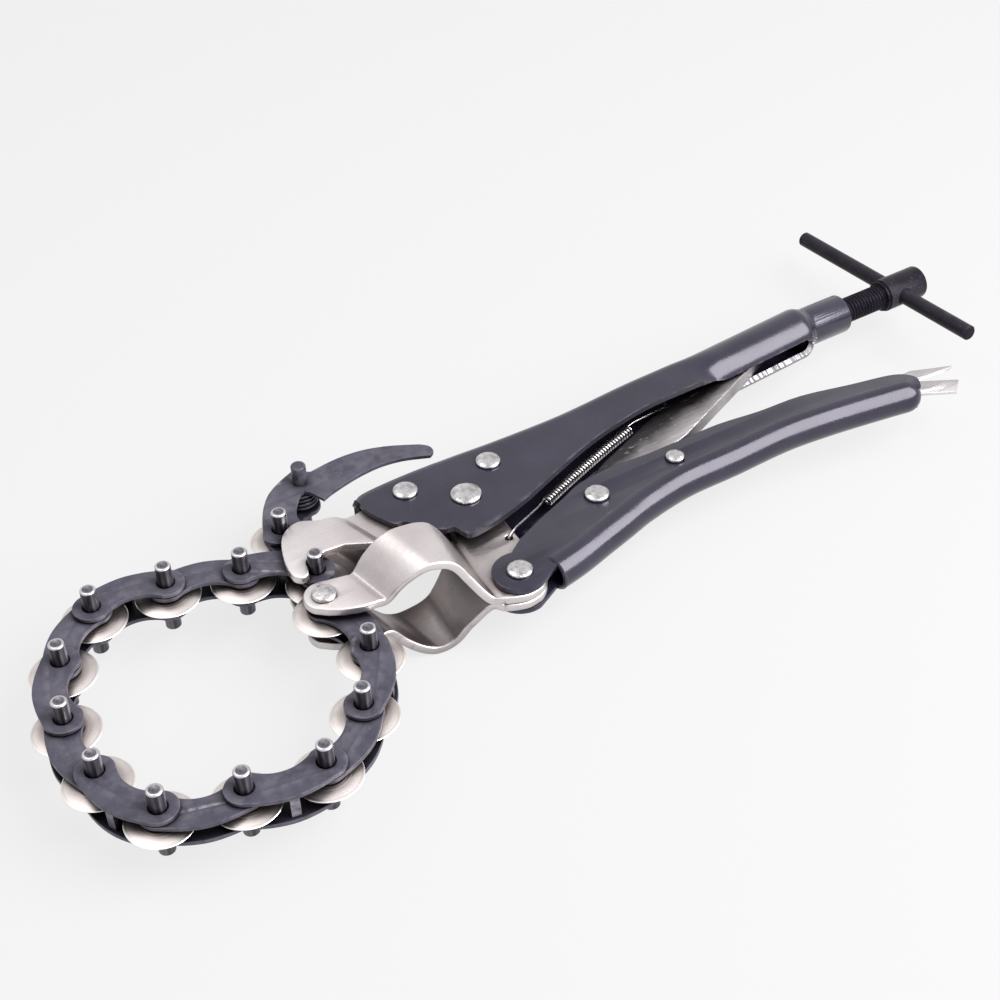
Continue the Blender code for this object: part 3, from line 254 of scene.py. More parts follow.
FINGER_SHARES = (
    (-0.063, 0.228), (-0.006, 0.5), (0.07, 0.74), (0.166, 0.904), (0.263, 1.016), (0.349, 0.864),
    (0.514, 0.916), (0.665, 0.884), (0.809, 0.756), (0.96, 0.536), (0.995, 0.428), (0.994, 0.304),
    (0.96, 0.236), (0.822, 0.388), (0.702, 0.444), (0.595, 0.432), (0.482, 0.38), (0.36, 0.292),
    (0.303, 0.228), (0.243, 0.524), (0.158, 0.32), (0.118, 0.12),
)


# Geometry helpers


def arc(centre, radius, start, end, steps=24):
    turns = [math.radians(start + (end - start) * n / steps) for n in range(steps + 1)]
    return [Vector(centre) + radius * Vector((math.cos(a), math.sin(a))) for a in turns]


def circle(centre, radius, steps=40):
    return arc(centre, radius, 0, 360 * (steps - 1) / steps, steps - 1)


def shaped(shares, length, height, start=(0, 0)):
    return [Vector(start) + Vector((x * length, y * height)) for x, y in shares]


def smooth(points, steps=5):
    """A curve through the points, with the ends kept."""
    points = [Vector(p) for p in points]
    line = [points[0]]
    for n in range(len(points) - 1):
        a = points[max(n - 1, 0)]
        b, c = points[n], points[n + 1]
        d = points[min(n + 2, len(points) - 1)]
        for step in range(1, steps + 1):
            t = step / steps
            curl = (2 * a - 5 * b + 4 * c - d) * t * t + (3 * b - a - 3 * c + d) * t * t * t
            line.append(0.5 * (2 * b + (c - a) * t + curl))
    return line


def softened(corner, before, after, reach=5 * MM):
    """A rounded corner."""
    a = corner + (before - corner).normalized() * reach
    b = corner + (after - corner).normalized() * reach
    shares = [n / 6 for n in range(7)]
    return [a * (1 - t) ** 2 + corner * 2 * t * (1 - t) + b * t * t for t in shares]


def mirrored(profile):
    return [(r, -z) for r, z in reversed(profile)]


def hoop(centre, along, radii):
    """Points round a centre, square to a direction in the plane, one for each radius."""
    side = Vector((-along.y, along.x))
    turns = [2 * math.pi * n / len(radii) for n in range(len(radii))]
    return [Vector((*(centre + side * r * math.cos(a)), r * math.sin(a))) for a, r in zip(turns, radii)]


def height_at(line, x):
    """Height of a line that runs along x."""
    if x <= line[0][0]:
        return line[0][1]
    for a, b in zip(line, line[1:]):
        if a[0] <= x <= b[0] and b[0] > a[0]:
            return a[1] + (b[1] - a[1]) * (x - a[0]) / (b[0] - a[0])
    return line[-1][1]


def step_up(x, low, high):
    """Smooth share from 0 at low to 1 at high."""
    t = min(max((x - low) / (high - low), 0), 1)
    return t * t * (3 - 2 * t)


def add_object(data, name="work"):
    obj = bpy.data.objects.new(name, data)
    bpy.context.scene.collection.objects.link(obj)
    return obj


def drop(*objects):
    for obj in objects:
        bpy.data.objects.remove(obj, do_unlink=True)


def to_mesh(obj):
    bpy.context.view_layer.update()
    graph = bpy.context.evaluated_depsgraph_get()
    mesh = bpy.data.meshes.new_from_object(obj.evaluated_get(graph))
    mesh.transform(obj.matrix_world)
    shape = bmesh.new()
    shape.from_mesh(mesh)
    bmesh.ops.remove_doubles(shape, verts=shape.verts, dist=WELD)
    bmesh.ops.recalc_face_normals(shape, faces=shape.faces)
    shape.to_mesh(mesh)
    shape.free()
    drop(obj)
    return add_object(mesh)


def plate(outline, low, high, holes=(), rounding=EDGE):
    """A flat sheet piece with rounded edges between two levels."""
    curve = bpy.data.curves.new("outline", "CURVE")
    curve.dimensions = "2D"
    curve.fill_mode = "BOTH"
    curve.extrude = (high - low) / 2 - rounding
    curve.bevel_depth = rounding
    curve.bevel_resolution = 1
    curve.offset = -rounding
    for loop in (outline, *holes):
        spline = curve.splines.new("POLY")
        spline.points.add(len(loop) - 1)
        for point, place in zip(spline.points, loop):
            point.co = (place[0], place[1], 0, 1)
        spline.use_cyclic_u = True
    obj = add_object(curve)
    obj.location.z = (low + high) / 2
    return to_mesh(obj)


def two_plates(outline, low, high, holes, rounding=EDGE):
    return [plate(outline, *levels, holes, rounding) for levels in ((low, high), (-high, -low))]


def block(outline, low, high):
    """A plain prism, for cutting."""
    mesh = bpy.data.meshes.new("block")
    count = len(outline)
    points = [(p[0], p[1], z) for z in (low, high) for p in outline]
    sides = [(n, (n + 1) % count, count + (n + 1) % count, count + n) for n in range(count)]
    mesh.from_pydata(points, [], [tuple(reversed(range(count))), tuple(range(count, 2 * count)), *sides])
    return to_mesh(add_object(mesh))


def lathe(profile, segments, closed=False):
    """A profile of (radius, height) points turned about z."""
    mesh = bpy.data.meshes.new("turned")
    pairs = [(n, n + 1) for n in range(len(profile) - 1)]
    if closed:
        pairs.append((len(profile) - 1, 0))
    mesh.from_pydata([(r, 0, z) for r, z in profile], pairs, [])
    obj = add_object(mesh)
    screw = obj.modifiers.new("Turn", "SCREW")
    screw.steps = screw.render_steps = segments
    screw.use_merge_vertices = True
    screw.merge_threshold = WELD
    return to_mesh(obj)


def loft(rows, ring=False, caps=False):
    """Faces between rows of points, each row closed if asked."""
    mesh = bpy.data.meshes.new("loft")
    count = len(rows[0])
    points = [p for row in rows for p in row]
    faces = []
    for n in range(len(rows) - 1):
        for k in range(count if ring else count - 1):
            m = (k + 1) % count
            faces.append((n * count + k, n * count + m, (n + 1) * count + m, (n + 1) * count + k))
    if caps:
        faces.append(tuple(reversed(range(count))))
        faces.append(tuple(range((len(rows) - 1) * count, len(rows) * count)))
    mesh.from_pydata(points, [], faces)
    return to_mesh(add_object(mesh))


def wire(points, radius):
    curve = bpy.data.curves.new("wire", "CURVE")
    curve.dimensions = "3D"
    curve.bevel_depth = radius
    curve.bevel_resolution = 3
    curve.use_fill_caps = True
    spline = curve.splines.new("POLY")
    spline.points.add(len(points) - 1)
    for point, place in zip(spline.points, points):
        point.co = (*place, 1)
    return to_mesh(add_object(curve))


def combine(target, tools, operation="UNION"):
    for tool in tools:
        step = target.modifiers.new("Boolean", "BOOLEAN")
        step.operation = operation
        step.object = tool
        step.solver = "EXACT"
    shape = to_mesh(target)
    drop(*tools)
    return shape


def joined(pieces):
    """One object of several separate closed shells."""
    shape = bmesh.new()
    for piece in pieces:
        shape.from_mesh(piece.data)
    drop(*pieces)
    mesh = bpy.data.meshes.new("joined")
    shape.to_mesh(mesh)
    shape.free()
    return add_object(mesh)


def moved(obj, matrix):
    obj.data.transform(matrix)
    return obj


def bent(obj, folds, side):
    """Bend a flat plate along straight folds.

    Each fold gives its x at the far and at the near line, and the height of the plate's middle there.
    """
    depth = ARCH_NEAR - ARCH_FAR
    shape = bmesh.new()
    shape.from_mesh(obj.data)
    squares = [Vector((-depth, near - far, 0)).normalized() for far, near, _ in folds]
    for (far, _, _), square in list(zip(folds, squares))[1:-1]:
        everything = [*shape.verts, *shape.edges, *shape.faces]
        place = (far, ARCH_FAR, 0)
        bmesh.ops.bisect_plane(shape, geom=everything, dist=WELD, plane_co=place, plane_no=square)
    last = len(folds) - 1
    for vertex in shape.verts:
        down = (vertex.co.y - ARCH_FAR) / depth
        reaches = [far + (near - far) * down for far, near, _ in folds]
        n = next(k for k in range(last) if vertex.co.x <= reaches[k + 1] or k == last - 1)
        share = (vertex.co.x - reaches[n]) / (reaches[n + 1] - reaches[n])
        across = squares[n].lerp(squares[n + 1], share).normalized()
        slopes = []
        for a, b in ((max(n - 1, 0), n + 1), (n, min(n + 2, last))):
            slopes.append((folds[b][2] - folds[a][2]) / (reaches[b] - reaches[a]))
        slope = (slopes[0] + (slopes[1] - slopes[0]) * share) / across.x
        normal = Vector((-slope, 1)).normalized()
        level = vertex.co.z
        height = folds[n][2] + (folds[n + 1][2] - folds[n][2]) * share
        vertex.co += across * (normal.x * level)
        vertex.co.z = side * (height + normal.y * level)
    if side < 0:
        bmesh.ops.reverse_faces(shape, faces=shape.faces)
    shape.to_mesh(obj.data)
    shape.free()
    return obj


# Materials


class Nodes:
    """Short ways to add nodes to a tree."""

    def __init__(self, tree):
        self.tree = tree

    def node(self, kind, **values):
        node = self.tree.nodes.new(kind)
        for key, value in values.items():
            setattr(node, key, value)
        return node

    def link(self, source, target):
        self.tree.links.new(source, target)

    def give(self, value, socket):
        if isinstance(value, bpy.types.NodeSocket):
            self.link(value, socket)
        elif isinstance(value, tuple):
            socket.default_value = (*value, 1.0)
        else:
            socket.default_value = value

    def mix(self, share, first, second):
        mix = self.node("ShaderNodeMix", data_type="RGBA")
        for value, name in ((first, "A"), (second, "B"), (share, "Factor")):
            self.give(value, mix.inputs[name])
        return mix.outputs["Result"]

    def maths(self, operation, *values):
        node = self.node("ShaderNodeMath", operation=operation)
        for value, socket in zip(values, node.inputs):
            self.give(value, socket)
        return node.outputs[0]

    def seen(self):
        """1 for camera, glossy and transmission rays."""
        rays = self.node("ShaderNodeLightPath").outputs
        first = self.maths("MAXIMUM", rays["Is Camera Ray"], rays["Is Glossy Ray"])
        return self.maths("MAXIMUM", first, rays["Is Transmission Ray"])


class Finish(Nodes):
    """A metal or paint finish in object space."""

    def __init__(self, name, roughness, metallic, specular=0.5, coat=0.0, tint=(1, 1, 1)):
        self.material = bpy.data.materials.new(name)
        self.material.use_nodes = True
        super().__init__(self.material.node_tree)
        self.shader = self.tree.nodes["Principled BSDF"]
        values = {
            "Roughness": roughness, "Metallic": metallic, "Specular IOR Level": specular,
            "Specular Tint": tint, "Coat Weight": coat, "Coat Roughness": 0.08,
        }
        for socket, value in values.items():
            self.give(value, self.shader.inputs[socket])
        self.place = self.node("ShaderNodeTexCoord").outputs["Object"]

    def noise(self, scale, detail, place=None):
        noise = self.node("ShaderNodeTexNoise")
        noise.inputs["Scale"].default_value = scale
        noise.inputs["Detail"].default_value = detail
        self.link(place or self.place, noise.inputs["Vector"])
        return noise.outputs["Fac"]

    def streaks(self, scales, detail, turn=0.0):
        """Noise with its own scale along each axis, turned about z by the degrees given."""
        mapping = self.node("ShaderNodeMapping")
        mapping.inputs["Scale"].default_value = scales
        mapping.inputs["Rotation"].default_value = (0, 0, math.radians(turn))
        self.link(self.place, mapping.inputs["Vector"])
        return self.noise(1.0, detail, mapping.outputs["Vector"])

    def axes(self):
        parts = self.node("ShaderNodeSeparateXYZ")
        self.link(self.place, parts.inputs[0])
        return [parts.outputs[name] for name in "XYZ"]

    def radius(self):
        """Distance from the piece's own z axis."""
        squares = [self.maths("MULTIPLY", axis, axis) for axis in self.axes()[:2]]
        return self.maths("SQRT", self.maths("ADD", *squares))

    def spread(self, value, low, high, to_low=0.0, to_high=1.0):
        span = self.node("ShaderNodeMapRange")
        for name, number in zip(("From Min", "From Max", "To Min", "To Max"), (low, high, to_low, to_high)):
            span.inputs[name].default_value = number
        self.link(value, span.inputs["Value"])
        return span.outputs["Result"]

    def between(self, value, low, high, first, second):
        """The first colour where the value is low, the second where it is high."""
        return self.mix(self.spread(value, low, high), first, second)

    def touch(self, base, mask, share, colour):
        """A colour laid over the base where the mask is, at the share given."""
        return self.mix(self.maths("MULTIPLY", mask, share), base, colour)

    def edges(self, low, high):
        """1 on worn outer edges."""
        return self.spread(self.node("ShaderNodeNewGeometry").outputs["Pointiness"], low, high)

    def painted_shade_mask(self, depth, low=0.4, high=0.9):
        """1 where other surfaces are near, 0 in the open: the mask for painted shade."""
        near = self.node("ShaderNodeAmbientOcclusion")
        near.inputs["Distance"].default_value = depth
        return self.spread(near.outputs["AO"], low, high, 1.0, 0.0)

    def bump(self, height, strength, distance):
        bump = self.node("ShaderNodeBump")
        bump.inputs["Strength"].default_value = strength
        bump.inputs["Distance"].default_value = distance
        self.link(height, bump.inputs["Height"])
        self.link(bump.outputs["Normal"], self.shader.inputs["Normal"])

    def wear(self, colour, roughness=None):
        self.give(colour, self.shader.inputs["Base Color"])
        if roughness is not None:
            self.give(roughness, self.shader.inputs["Roughness"])


def black_enamel():
    f = Finish("black_enamel", 0.22, 0.0, 0.5, 0.25, (0.9, 0.88, 1.0))
    base = f.between(f.noise(60, 4), 0.35, 0.7, (0.009, 0.008, 0.017), (0.017, 0.015, 0.028))
    dust = f.spread(f.noise(1500, 2), 0.71, 0.76)
    rubbed = f.maths("MULTIPLY", f.edges(0.54, 0.62), f.spread(f.noise(200, 4), 0.45, 0.65))
    base = f.touch(base, dust, 0.25, (0.18, 0.17, 0.21))
    base = f.touch(base, rubbed, 0.35, (0.3, 0.29, 0.33))
    f.wear(base, f.spread(f.noise(140, 5), 0.3, 0.75, 0.18, 0.28))
    f.bump(f.noise(900, 2), 0.1, 0.0004)
    return f.material


def cut_edge():
    """The sheet's cut edge: painted in front, with bare shear marks along the tube's seam."""
    f = Finish("cut_edge", 0.4, 0.3)
    ticks = f.streaks((1300, 60, 60), 3)
    base = f.between(ticks, 0.44, 0.54, (0.1, 0.095, 0.11), (0.66, 0.64, 0.67))
    base = f.between(f.noise(45, 3), 0.5, 0.68, base, (0.3, 0.29, 0.32))
    x, _, _ = f.axes()
    f.wear(f.between(x, 0.106, 0.117, (0.02, 0.018, 0.026), base))
    f.bump(ticks, 0.3, 0.0004)
    return f.material


def nickel_plate():
    """Brushed plating, with a warm dark painted shade in the arch's hollows, and bright on its edges."""
    f = Finish("nickel_plate", 0.4, 1.0)
    grain = f.streaks((420, 1300, 900), 4, -18)
    base = f.between(f.noise(38, 5), 0.32, 0.68, (0.53, 0.48, 0.475), (0.75, 0.7, 0.7))
    base = f.mix(f.spread(grain, 0.35, 0.75, 0.0, 0.35), base, (0.47, 0.43, 0.435))
    # Painted shade: a mottled warm dark tone laid in the arch's hollows, where other surfaces are near.
    hollow_painted_shade = f.between(f.noise(110, 4), 0.4, 0.65, (0.09, 0.075, 0.08), (0.15, 0.1, 0.09))
    base = f.touch(base, f.painted_shade_mask(0.03, 0.45, 0.95), 0.85, hollow_painted_shade)
    base = f.touch(base, f.edges(0.515, 0.57), 0.7, (0.85, 0.82, 0.82))
    f.wear(base, f.spread(grain, 0.3, 0.75, 0.34, 0.46))
    f.bump(grain, 0.2, 0.0003)
    return f.material


def black_steel():
    """Blackened chain plates: a thin oxide film, paler on rubbed edges, with painted shade and a weaker
    reflection in the gaps.
    """
    f = Finish("black_steel", 0.36, 0.0, 0.55, 0.0, (0.85, 0.82, 1.0))
    base = f.between(f.noise(90, 5), 0.3, 0.7, (0.034, 0.032, 0.047), (0.062, 0.059, 0.08))
    base = f.touch(base, f.spread(f.noise(1100, 3), 0.66, 0.74), 0.3, (0.2, 0.19, 0.22))
    edge = f.maths("MULTIPLY", f.edges(0.52, 0.6), f.spread(f.noise(300, 3), 0.35, 0.6))
    base = f.touch(base, edge, 0.55, (0.34, 0.33, 0.36))
    # Painted shade in the gaps between plates: darker colour and less reflection where other surfaces are
    # near.
    painted_shade_mask = f.painted_shade_mask(0.01)
    base = f.mix(painted_shade_mask, base, (0.006, 0.005, 0.008))
    f.give(f.spread(painted_shade_mask, 0.0, 1.0, 0.45, 0.1), f.shader.inputs["Specular IOR Level"])
    f.wear(base, f.spread(f.noise(200, 4), 0.3, 0.75, 0.3, 0.46))
    f.bump(f.noise(1300, 3), 0.2, 0.0003)
    return f.material


def wheel_steel():
    """Ground steel: fine rings round the wheel's own axis, painted shade round the hub and in the gaps, and a
    bright rim.
    """
    f = Finish("wheel_steel", 0.36, 1.0)
    radius = f.radius()
    ring = f.node("ShaderNodeTexNoise", noise_dimensions="1D")
    ring.inputs["Scale"].default_value = 2200
    ring.inputs["Detail"].default_value = 3
    f.link(radius, ring.inputs["W"])
    rings = ring.outputs["Fac"]
    base = f.between(rings, 0.25, 0.75, (0.6, 0.545, 0.525), (0.76, 0.71, 0.69))
    # Painted shade round the hub, where the link plates lie over the wheel.
    base = f.mix(f.spread(radius, 0.0062, 0.0092, 0.75, 0.0), base, (0.27, 0.225, 0.215))
    base = f.touch(base, f.spread(f.noise(150, 4), 0.5, 0.72), 0.4, (0.4, 0.34, 0.31))
    # Painted shade where other surfaces are near.
    base = f.touch(base, f.painted_shade_mask(0.006), 0.7, (0.16, 0.135, 0.125))
    base = f.between(radius, 0.0105, 0.0109, base, (0.8, 0.76, 0.73))
    f.wear(base, f.spread(rings, 0.3, 0.7, 0.3, 0.42))
    f.bump(rings, 0.08, 0.0002)
    return f.material


def gunmetal():
    """Turned pins: dark drawn sides with bright streaks, a worn rim and a dull end."""
    f = Finish("gunmetal", 0.3, 1.0)
    _, _, z = f.axes()
    drawn = f.streaks((620, 620, 30), 3)
    base = f.between(drawn, 0.35, 0.62, (0.04, 0.037, 0.045), (0.17, 0.16, 0.185))
    base = f.between(drawn, 0.6, 0.68, base, (0.42, 0.4, 0.44))
    high = f.spread(f.maths("ABSOLUTE", z), 0.01285, 0.01315)
    rim = f.maths("MULTIPLY", high, f.spread(f.radius(), 0.0016, 0.002))
    centre = f.between(f.noise(700, 4), 0.35, 0.7, (0.09, 0.085, 0.1), (0.26, 0.25, 0.28))
    base = f.mix(rim, f.mix(high, base, centre), (0.6, 0.58, 0.61))
    f.wear(base, f.spread(rim, 0.0, 1.0, 0.33, 0.26))
    f.bump(f.noise(1200, 3), 0.25, 0.0002)
    return f.material


def bright_steel():
    """Rivet heads: dented, with patches of dirt."""
    f = Finish("bright_steel", 0.26, 1.0)
    base = f.between(f.noise(420, 3), 0.35, 0.65, (0.42, 0.405, 0.415), (0.72, 0.7, 0.71))
    base = f.touch(base, f.spread(f.noise(260, 5), 0.56, 0.68), 0.6, (0.2, 0.19, 0.2))
    f.wear(base, f.spread(f.noise(600, 3), 0.3, 0.7, 0.18, 0.34))
    f.bump(f.noise(330, 3), 0.5, 0.0009)
    return f.material


def sheet_steel():
    """The release lever: drawn strip with long fine lines."""
    f = Finish("sheet_steel", 0.32, 1.0)
    drawn = f.streaks((120, 1500, 1500), 4, -12)
    base = f.between(drawn, 0.3, 0.7, (0.47, 0.44, 0.45), (0.68, 0.645, 0.655))
    base = f.touch(base, f.edges(0.52, 0.58), 0.6, (0.88, 0.86, 0.87))
    f.wear(base, f.spread(drawn, 0.3, 0.7, 0.26, 0.4))
    f.bump(drawn, 0.12, 0.0003)
    return f.material


def link_steel_painted_shadow():
    """The toggle link: drawn strip, with the upper handle's shadow painted on the side that lies under the
    handle, and painted shade where other surfaces are near.
    """
    f = Finish("link_steel_painted_shadow", 0.36, 1.0)
    drawn = f.streaks((120, 1500, 1500), 4, -12)
    base = f.between(drawn, 0.3, 0.7, (0.5, 0.47, 0.475), (0.7, 0.665, 0.675))
    # Painted shade where other surfaces are near.
    base = f.mix(f.painted_shade_mask(0.02, 0.35, 0.85), base, (0.035, 0.032, 0.034))
    # Painted shadow of the upper handle: darker towards the side that lies under it, with a noisy edge.
    x, y, _ = f.axes()
    side = f.maths("SUBTRACT", y, f.maths("MULTIPLY", x, 0.31))
    side = f.maths("ADD", side, f.maths("MULTIPLY", f.noise(90, 5), 0.008))
    base = f.mix(f.spread(side, 0.001, 0.012, 0.0, 0.95), base, (0.03, 0.027, 0.03))
    scratch = f.spread(f.streaks((260, 900, 400), 5, 40), 0.62, 0.7)
    base = f.touch(base, scratch, 0.5, (0.45, 0.43, 0.44))
    f.wear(base, f.spread(drawn, 0.3, 0.7, 0.28, 0.42))
    f.bump(drawn, 0.12, 0.0003)
    return f.material


def black_oxide():
    """Screw and T-bar: a dull black film with fine drawn lines."""
    f = Finish("black_oxide", 0.28, 0.0, 0.07, 0.0, (0.9, 0.86, 1.0))
    base = f.between(f.noise(160, 4), 0.3, 0.7, (0.004, 0.003, 0.006), (0.012, 0.01, 0.016))
    drawn = f.streaks((1600, 120, 1600), 3)
    base = f.mix(f.spread(drawn, 0.62, 0.75, 0.0, 0.3), base, (0.12, 0.115, 0.13))
    base = f.touch(base, f.edges(0.55, 0.66), 0.35, (0.3, 0.29, 0.32))
    f.wear(base, f.spread(drawn, 0.3, 0.75, 0.2, 0.34))
    f.bump(f.noise(1000, 3), 0.15, 0.0003)
    return f.material


def zinc_spring():
    f = Finish("zinc_spring", 0.24, 1.0)
    base = f.between(f.noise(300, 4), 0.35, 0.7, (0.36, 0.345, 0.355), (0.7, 0.68, 0.69))
    f.wear(base, f.spread(f.noise(900, 2), 0.3, 0.7, 0.18, 0.32))
    return f.material


FINISHES = (
    black_enamel, cut_edge, link_steel_painted_shadow, nickel_plate, black_steel, wheel_steel, gunmetal, bright_steel,
    sheet_steel, black_oxide, zinc_spring,
)
MATERIALS = {make.__name__: make() for make in FINISHES}
BODY_OF = {node: body for body, nodes in frame["record"]["behaviour"]["bodies"].items() for node in nodes}
SLOT_OF = {part["node"]: part["material_slot"] for part in frame["record"]["subparts"]}


def show(mesh, node, place, turn=0.0, material=None, sharp=40, bend=None):
    """A finished piece that stands for one node: placed from the mid-plane and riding on its body.

    Faces with a material index above zero get the cut edge's finish. A piece given a bend rides on no
    body: its place is baked into its mesh, and the body, start and end that bend holds are not read.
    """
    if turn:
        mesh = mesh.copy()
        mesh.transform(Matrix.Rotation(turn, 4, "Z"))
    mesh.shade_smooth()
    mesh.set_sharp_from_angle(angle=math.radians(sharp))
    cut = [face.index for face in mesh.polygons if face.material_index]
    mesh.materials.clear()
    mesh.materials.append(MATERIALS[material or SLOT_OF[node]])
    if cut:
        mesh.materials.append(MATERIALS["cut_edge"])
        for index in cut:
            mesh.polygons[index].material_index = 1
    piece = add_object(mesh, f"{node}_form")
    place = Vector(place).to_3d()
    place.z += MID_HEIGHT
    piece.matrix_world = Matrix.Translation(place)
    if bend:
        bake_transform(piece)
    else:
        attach(piece, BODY_OF[node])
    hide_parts(node)


def show_whole(obj, node, place=(0, 0, 0), **options):
    """The same for a work object made in place; its origin goes to the place given."""
    place = Vector(place).to_3d()
    obj.data.transform(Matrix.Translation(-place))
    show(obj.data, node, place, **options)
    drop(obj)


# Upper handle


def handle_row(x, back, edge):
    """Half section of the upper handle's outer surface at x, from the top's middle to the lower edge."""
    top, low = height_at(back, x), height_at(edge, x)
    rounding = min(BACK_ROUNDING, (top - low) / 2)
    flat, under = CHEEK_HIGH - rounding, top - rounding
    row = [Vector((x, top, flat * n / 4)) for n in range(5)]
    for n in range(1, 10):
        a = math.pi / 2 * n / 9
        row.append(Vector((x, under + rounding * math.cos(a), flat + rounding * math.sin(a))))
    row += [Vector((x, under + (low - under) * n / 12, CHEEK_HIGH)) for n in range(1, 13)]
    share = step_up(x, TUBE_START, TUBE_FULL)
    if share > 0:
        narrow = step_up(x, NECK_CONE, NECK_START)
        drop = (TUBE_DROP + (NECK_START - x) * TUBE_LEAN) * (1 - narrow)
        radius = TUBE_RADIUS + (NECK_RADIUS - TUBE_RADIUS) * narrow
        seam = SEAM_HALF * (1 - 0.94 * step_up(x, SEAM_END, SEAM_SHUT))
        end = math.pi - math.asin(seam / radius)
        for n, point in enumerate(row):
            a = end * n / (len(row) - 1)
            tube = Vector((x, SCREW_AXIS_Y - drop + radius * math.cos(a), radius * math.sin(a)))
            row[n] = point.lerp(tube, share)
    return row


def make_upper_handle():
    back = smooth(shaped(UPPER_BACK_SHARES, HANDLE_REACH, BACK_RISE))
    edge = smooth(shaped(UPPER_EDGE_SHARES, HANDLE_REACH, BACK_RISE), 4)
    cheek = {round(p.x, 6) for p in edge if p.x < 104 * MM}
    tube = {n * 1.5 * MM for n in range(70, 112)}
    rows = []
    for x in [*sorted(cheek | tube), *((168 + n) * MM for n in range(3))]:
        half = handle_row(x, back, edge)
        rows.append([Vector((p.x, p.y, -p.z)) for p in reversed(half[1:])] + half)
    sheet = loft(rows)
    for slot in ("black_enamel", "cut_edge"):
        sheet.data.materials.append(MATERIALS[slot])
    solid = sheet.modifiers.new("Thickness", "SOLIDIFY")
    solid.material_offset_rim = 1
    solid.thickness = HANDLE_SHEET
    solid.offset = -1
    solid.use_even_offset = True
    sheet = to_mesh(sheet)
    inner, mouth = SCREW_RADIUS + GAP, HANDLE_REACH
    neck = [
        (inner, SOCKET_START), (inner, mouth - 0.6 * MM), (inner + 0.6 * MM, mouth),
        (NECK_RADIUS - 0.8 * MM, mouth), (NECK_RADIUS - 0.2 * MM, mouth - 0.3 * MM),
        (NECK_RADIUS, mouth - 0.9 * MM), (NECK_RADIUS, SOCKET_FULL), (NECK_RADIUS - 0.7 * MM, SOCKET_START),
    ]
    placing = Matrix.Translation((0, SCREW_AXIS_Y, 0)) @ Matrix.Rotation(math.pi / 2, 4, "Y")
    socket = moved(lathe(neck, 64, closed=True), placing)
    show_whole(combine(sheet, [socket]), "upper_handle", sharp=38)


def make_lower_handle():
    axis = smooth(shaped(BEAD_SHARES, LEVER_REACH, LEVER_DROP))
    edge = smooth(shaped(LOWER_EDGE_SHARES, LEVER_REACH, LEVER_DROP), 4)
    seat = [point - Vector((0, 2.0 * MM)) for point in reversed(axis)]
    outline = [*arc(REAR_PIVOT, REAR_LUG, 285, 75, 28), *edge, *seat]
    sizes = ((REAR_PIVOT, RIVET_HOLE), (TOGGLE_PIVOT, RIVET_HOLE), (RELEASE_PIVOT, SMALL_HOLE))
    holes = [circle(place, radius) for place, radius in sizes]
    cheeks = two_plates(outline, LEVER_LOW, LEVER_HIGH, holes, 0.4 * MM)
    end = len(axis) - 1
    aheads = [(axis[min(n + 1, end)] - axis[max(n - 1, 0)]).normalized() for n in range(end + 1)]
    bore = BEAD_RADIUS - BEAD_WALL
    stations = [(point, along, bore) for point, along in zip(reversed(axis), reversed(aheads))]
    for radius in (bore + BEAD_LIP, BEAD_RADIUS - BEAD_LIP):
        stations.append((axis[0] - aheads[0] * BEAD_LIP, aheads[0], radius))
    stations += [(point, along, BEAD_RADIUS) for point, along in zip(axis, aheads)]
    for angle in (15, 30, 45, 60, 70, 80, 86):
        turn = math.radians(angle)
        centre = axis[-1] + aheads[-1] * BEAD_RADIUS * math.sin(turn)
        stations.append((centre, aheads[-1], BEAD_RADIUS * math.cos(turn)))
    rows = [hoop(point, along, [radius] * 48) for point, along, radius in stations]
    bead = loft(rows, ring=True, caps=True)
    floor = [point + Vector((0, GAP)) for point in axis]
    last = floor.pop() - Vector((2 * MM, 0))
    while floor[-1].x > last.x:
        floor.pop()
    left, right = axis[0].x - CHANNEL_SPARE, LEVER_REACH + CHANNEL_SPARE
    top, low = CHANNEL_SPARE, last.y - CHANNEL_STEP
    hollow = [(left, top), (left, floor[0].y), *floor, last, (last.x, low), (right, low), (right, top)]
    channel = block(hollow, -LEVER_LOW - GAP / 6, LEVER_LOW + GAP / 6)
    bead = combine(bead, [channel], "DIFFERENCE")
    show_whole(combine(cheeks[0], [bead, cheeks[1]]), "lower_handle", REAR_PIVOT, sharp=38)


# Jaws


def show_jaw(name, outline, holes, rounding, folds):
    for side, level in ((1, "top"), (-1, "bottom")):
        flat = plate(outline, -JAW_SHEET / 2, JAW_SHEET / 2, holes, rounding)
        show_whole(bent(flat, folds, side), f"{name}_{level}", sharp=50)


def make_moving_jaw():
    rise = ARCH_CREST - JAW_SHEET / 2 - MOVING_MIDDLE
    arch = []
    for far, near, height in reversed(ARCH_SHARES):
        arch.append(Vector((-far * ARCH_REACH, -near * ARCH_REACH, MOVING_MIDDLE + height * rise)))
    arch[0].z = FRONT_MIDDLE
    flat = Vector((FOLD_FLAT, FOLD_FLAT, 0))
    curve = smooth([arch[0] - flat, *arch, arch[-1] + flat], 6)
    start = Vector((MOVING_START, MOVING_START, FRONT_MIDDLE))
    end = Vector((MOVING_END, MOVING_END, MOVING_MIDDLE))
    reach, drop = -JAW_PIN.x, -REAR_PIVOT.y
    outline = [
        *arc(JAW_PIN, JAW_LUG, 75, 215),
        *smooth(shaped(JAW_NEAR_SHARES, reach, drop), 4),
        *arc((0, 0), MAIN_LUG, -20, 190),
        *smooth(shaped(JAW_FAR_SHARES, reach, drop), 4),
    ]
    holes = [circle(JAW_PIN, PIN_HOLE), circle((0, 0), MAIN_HOLE), circle(REAR_PIVOT, RIVET_HOLE)]
    holes.append(circle(SPRING_HOLE.to_2d(), SPRING_HOLE_RADIUS, 24))
    show_jaw("moving_jaw", outline, holes, 0.55 * MM, [start, *curve, end])


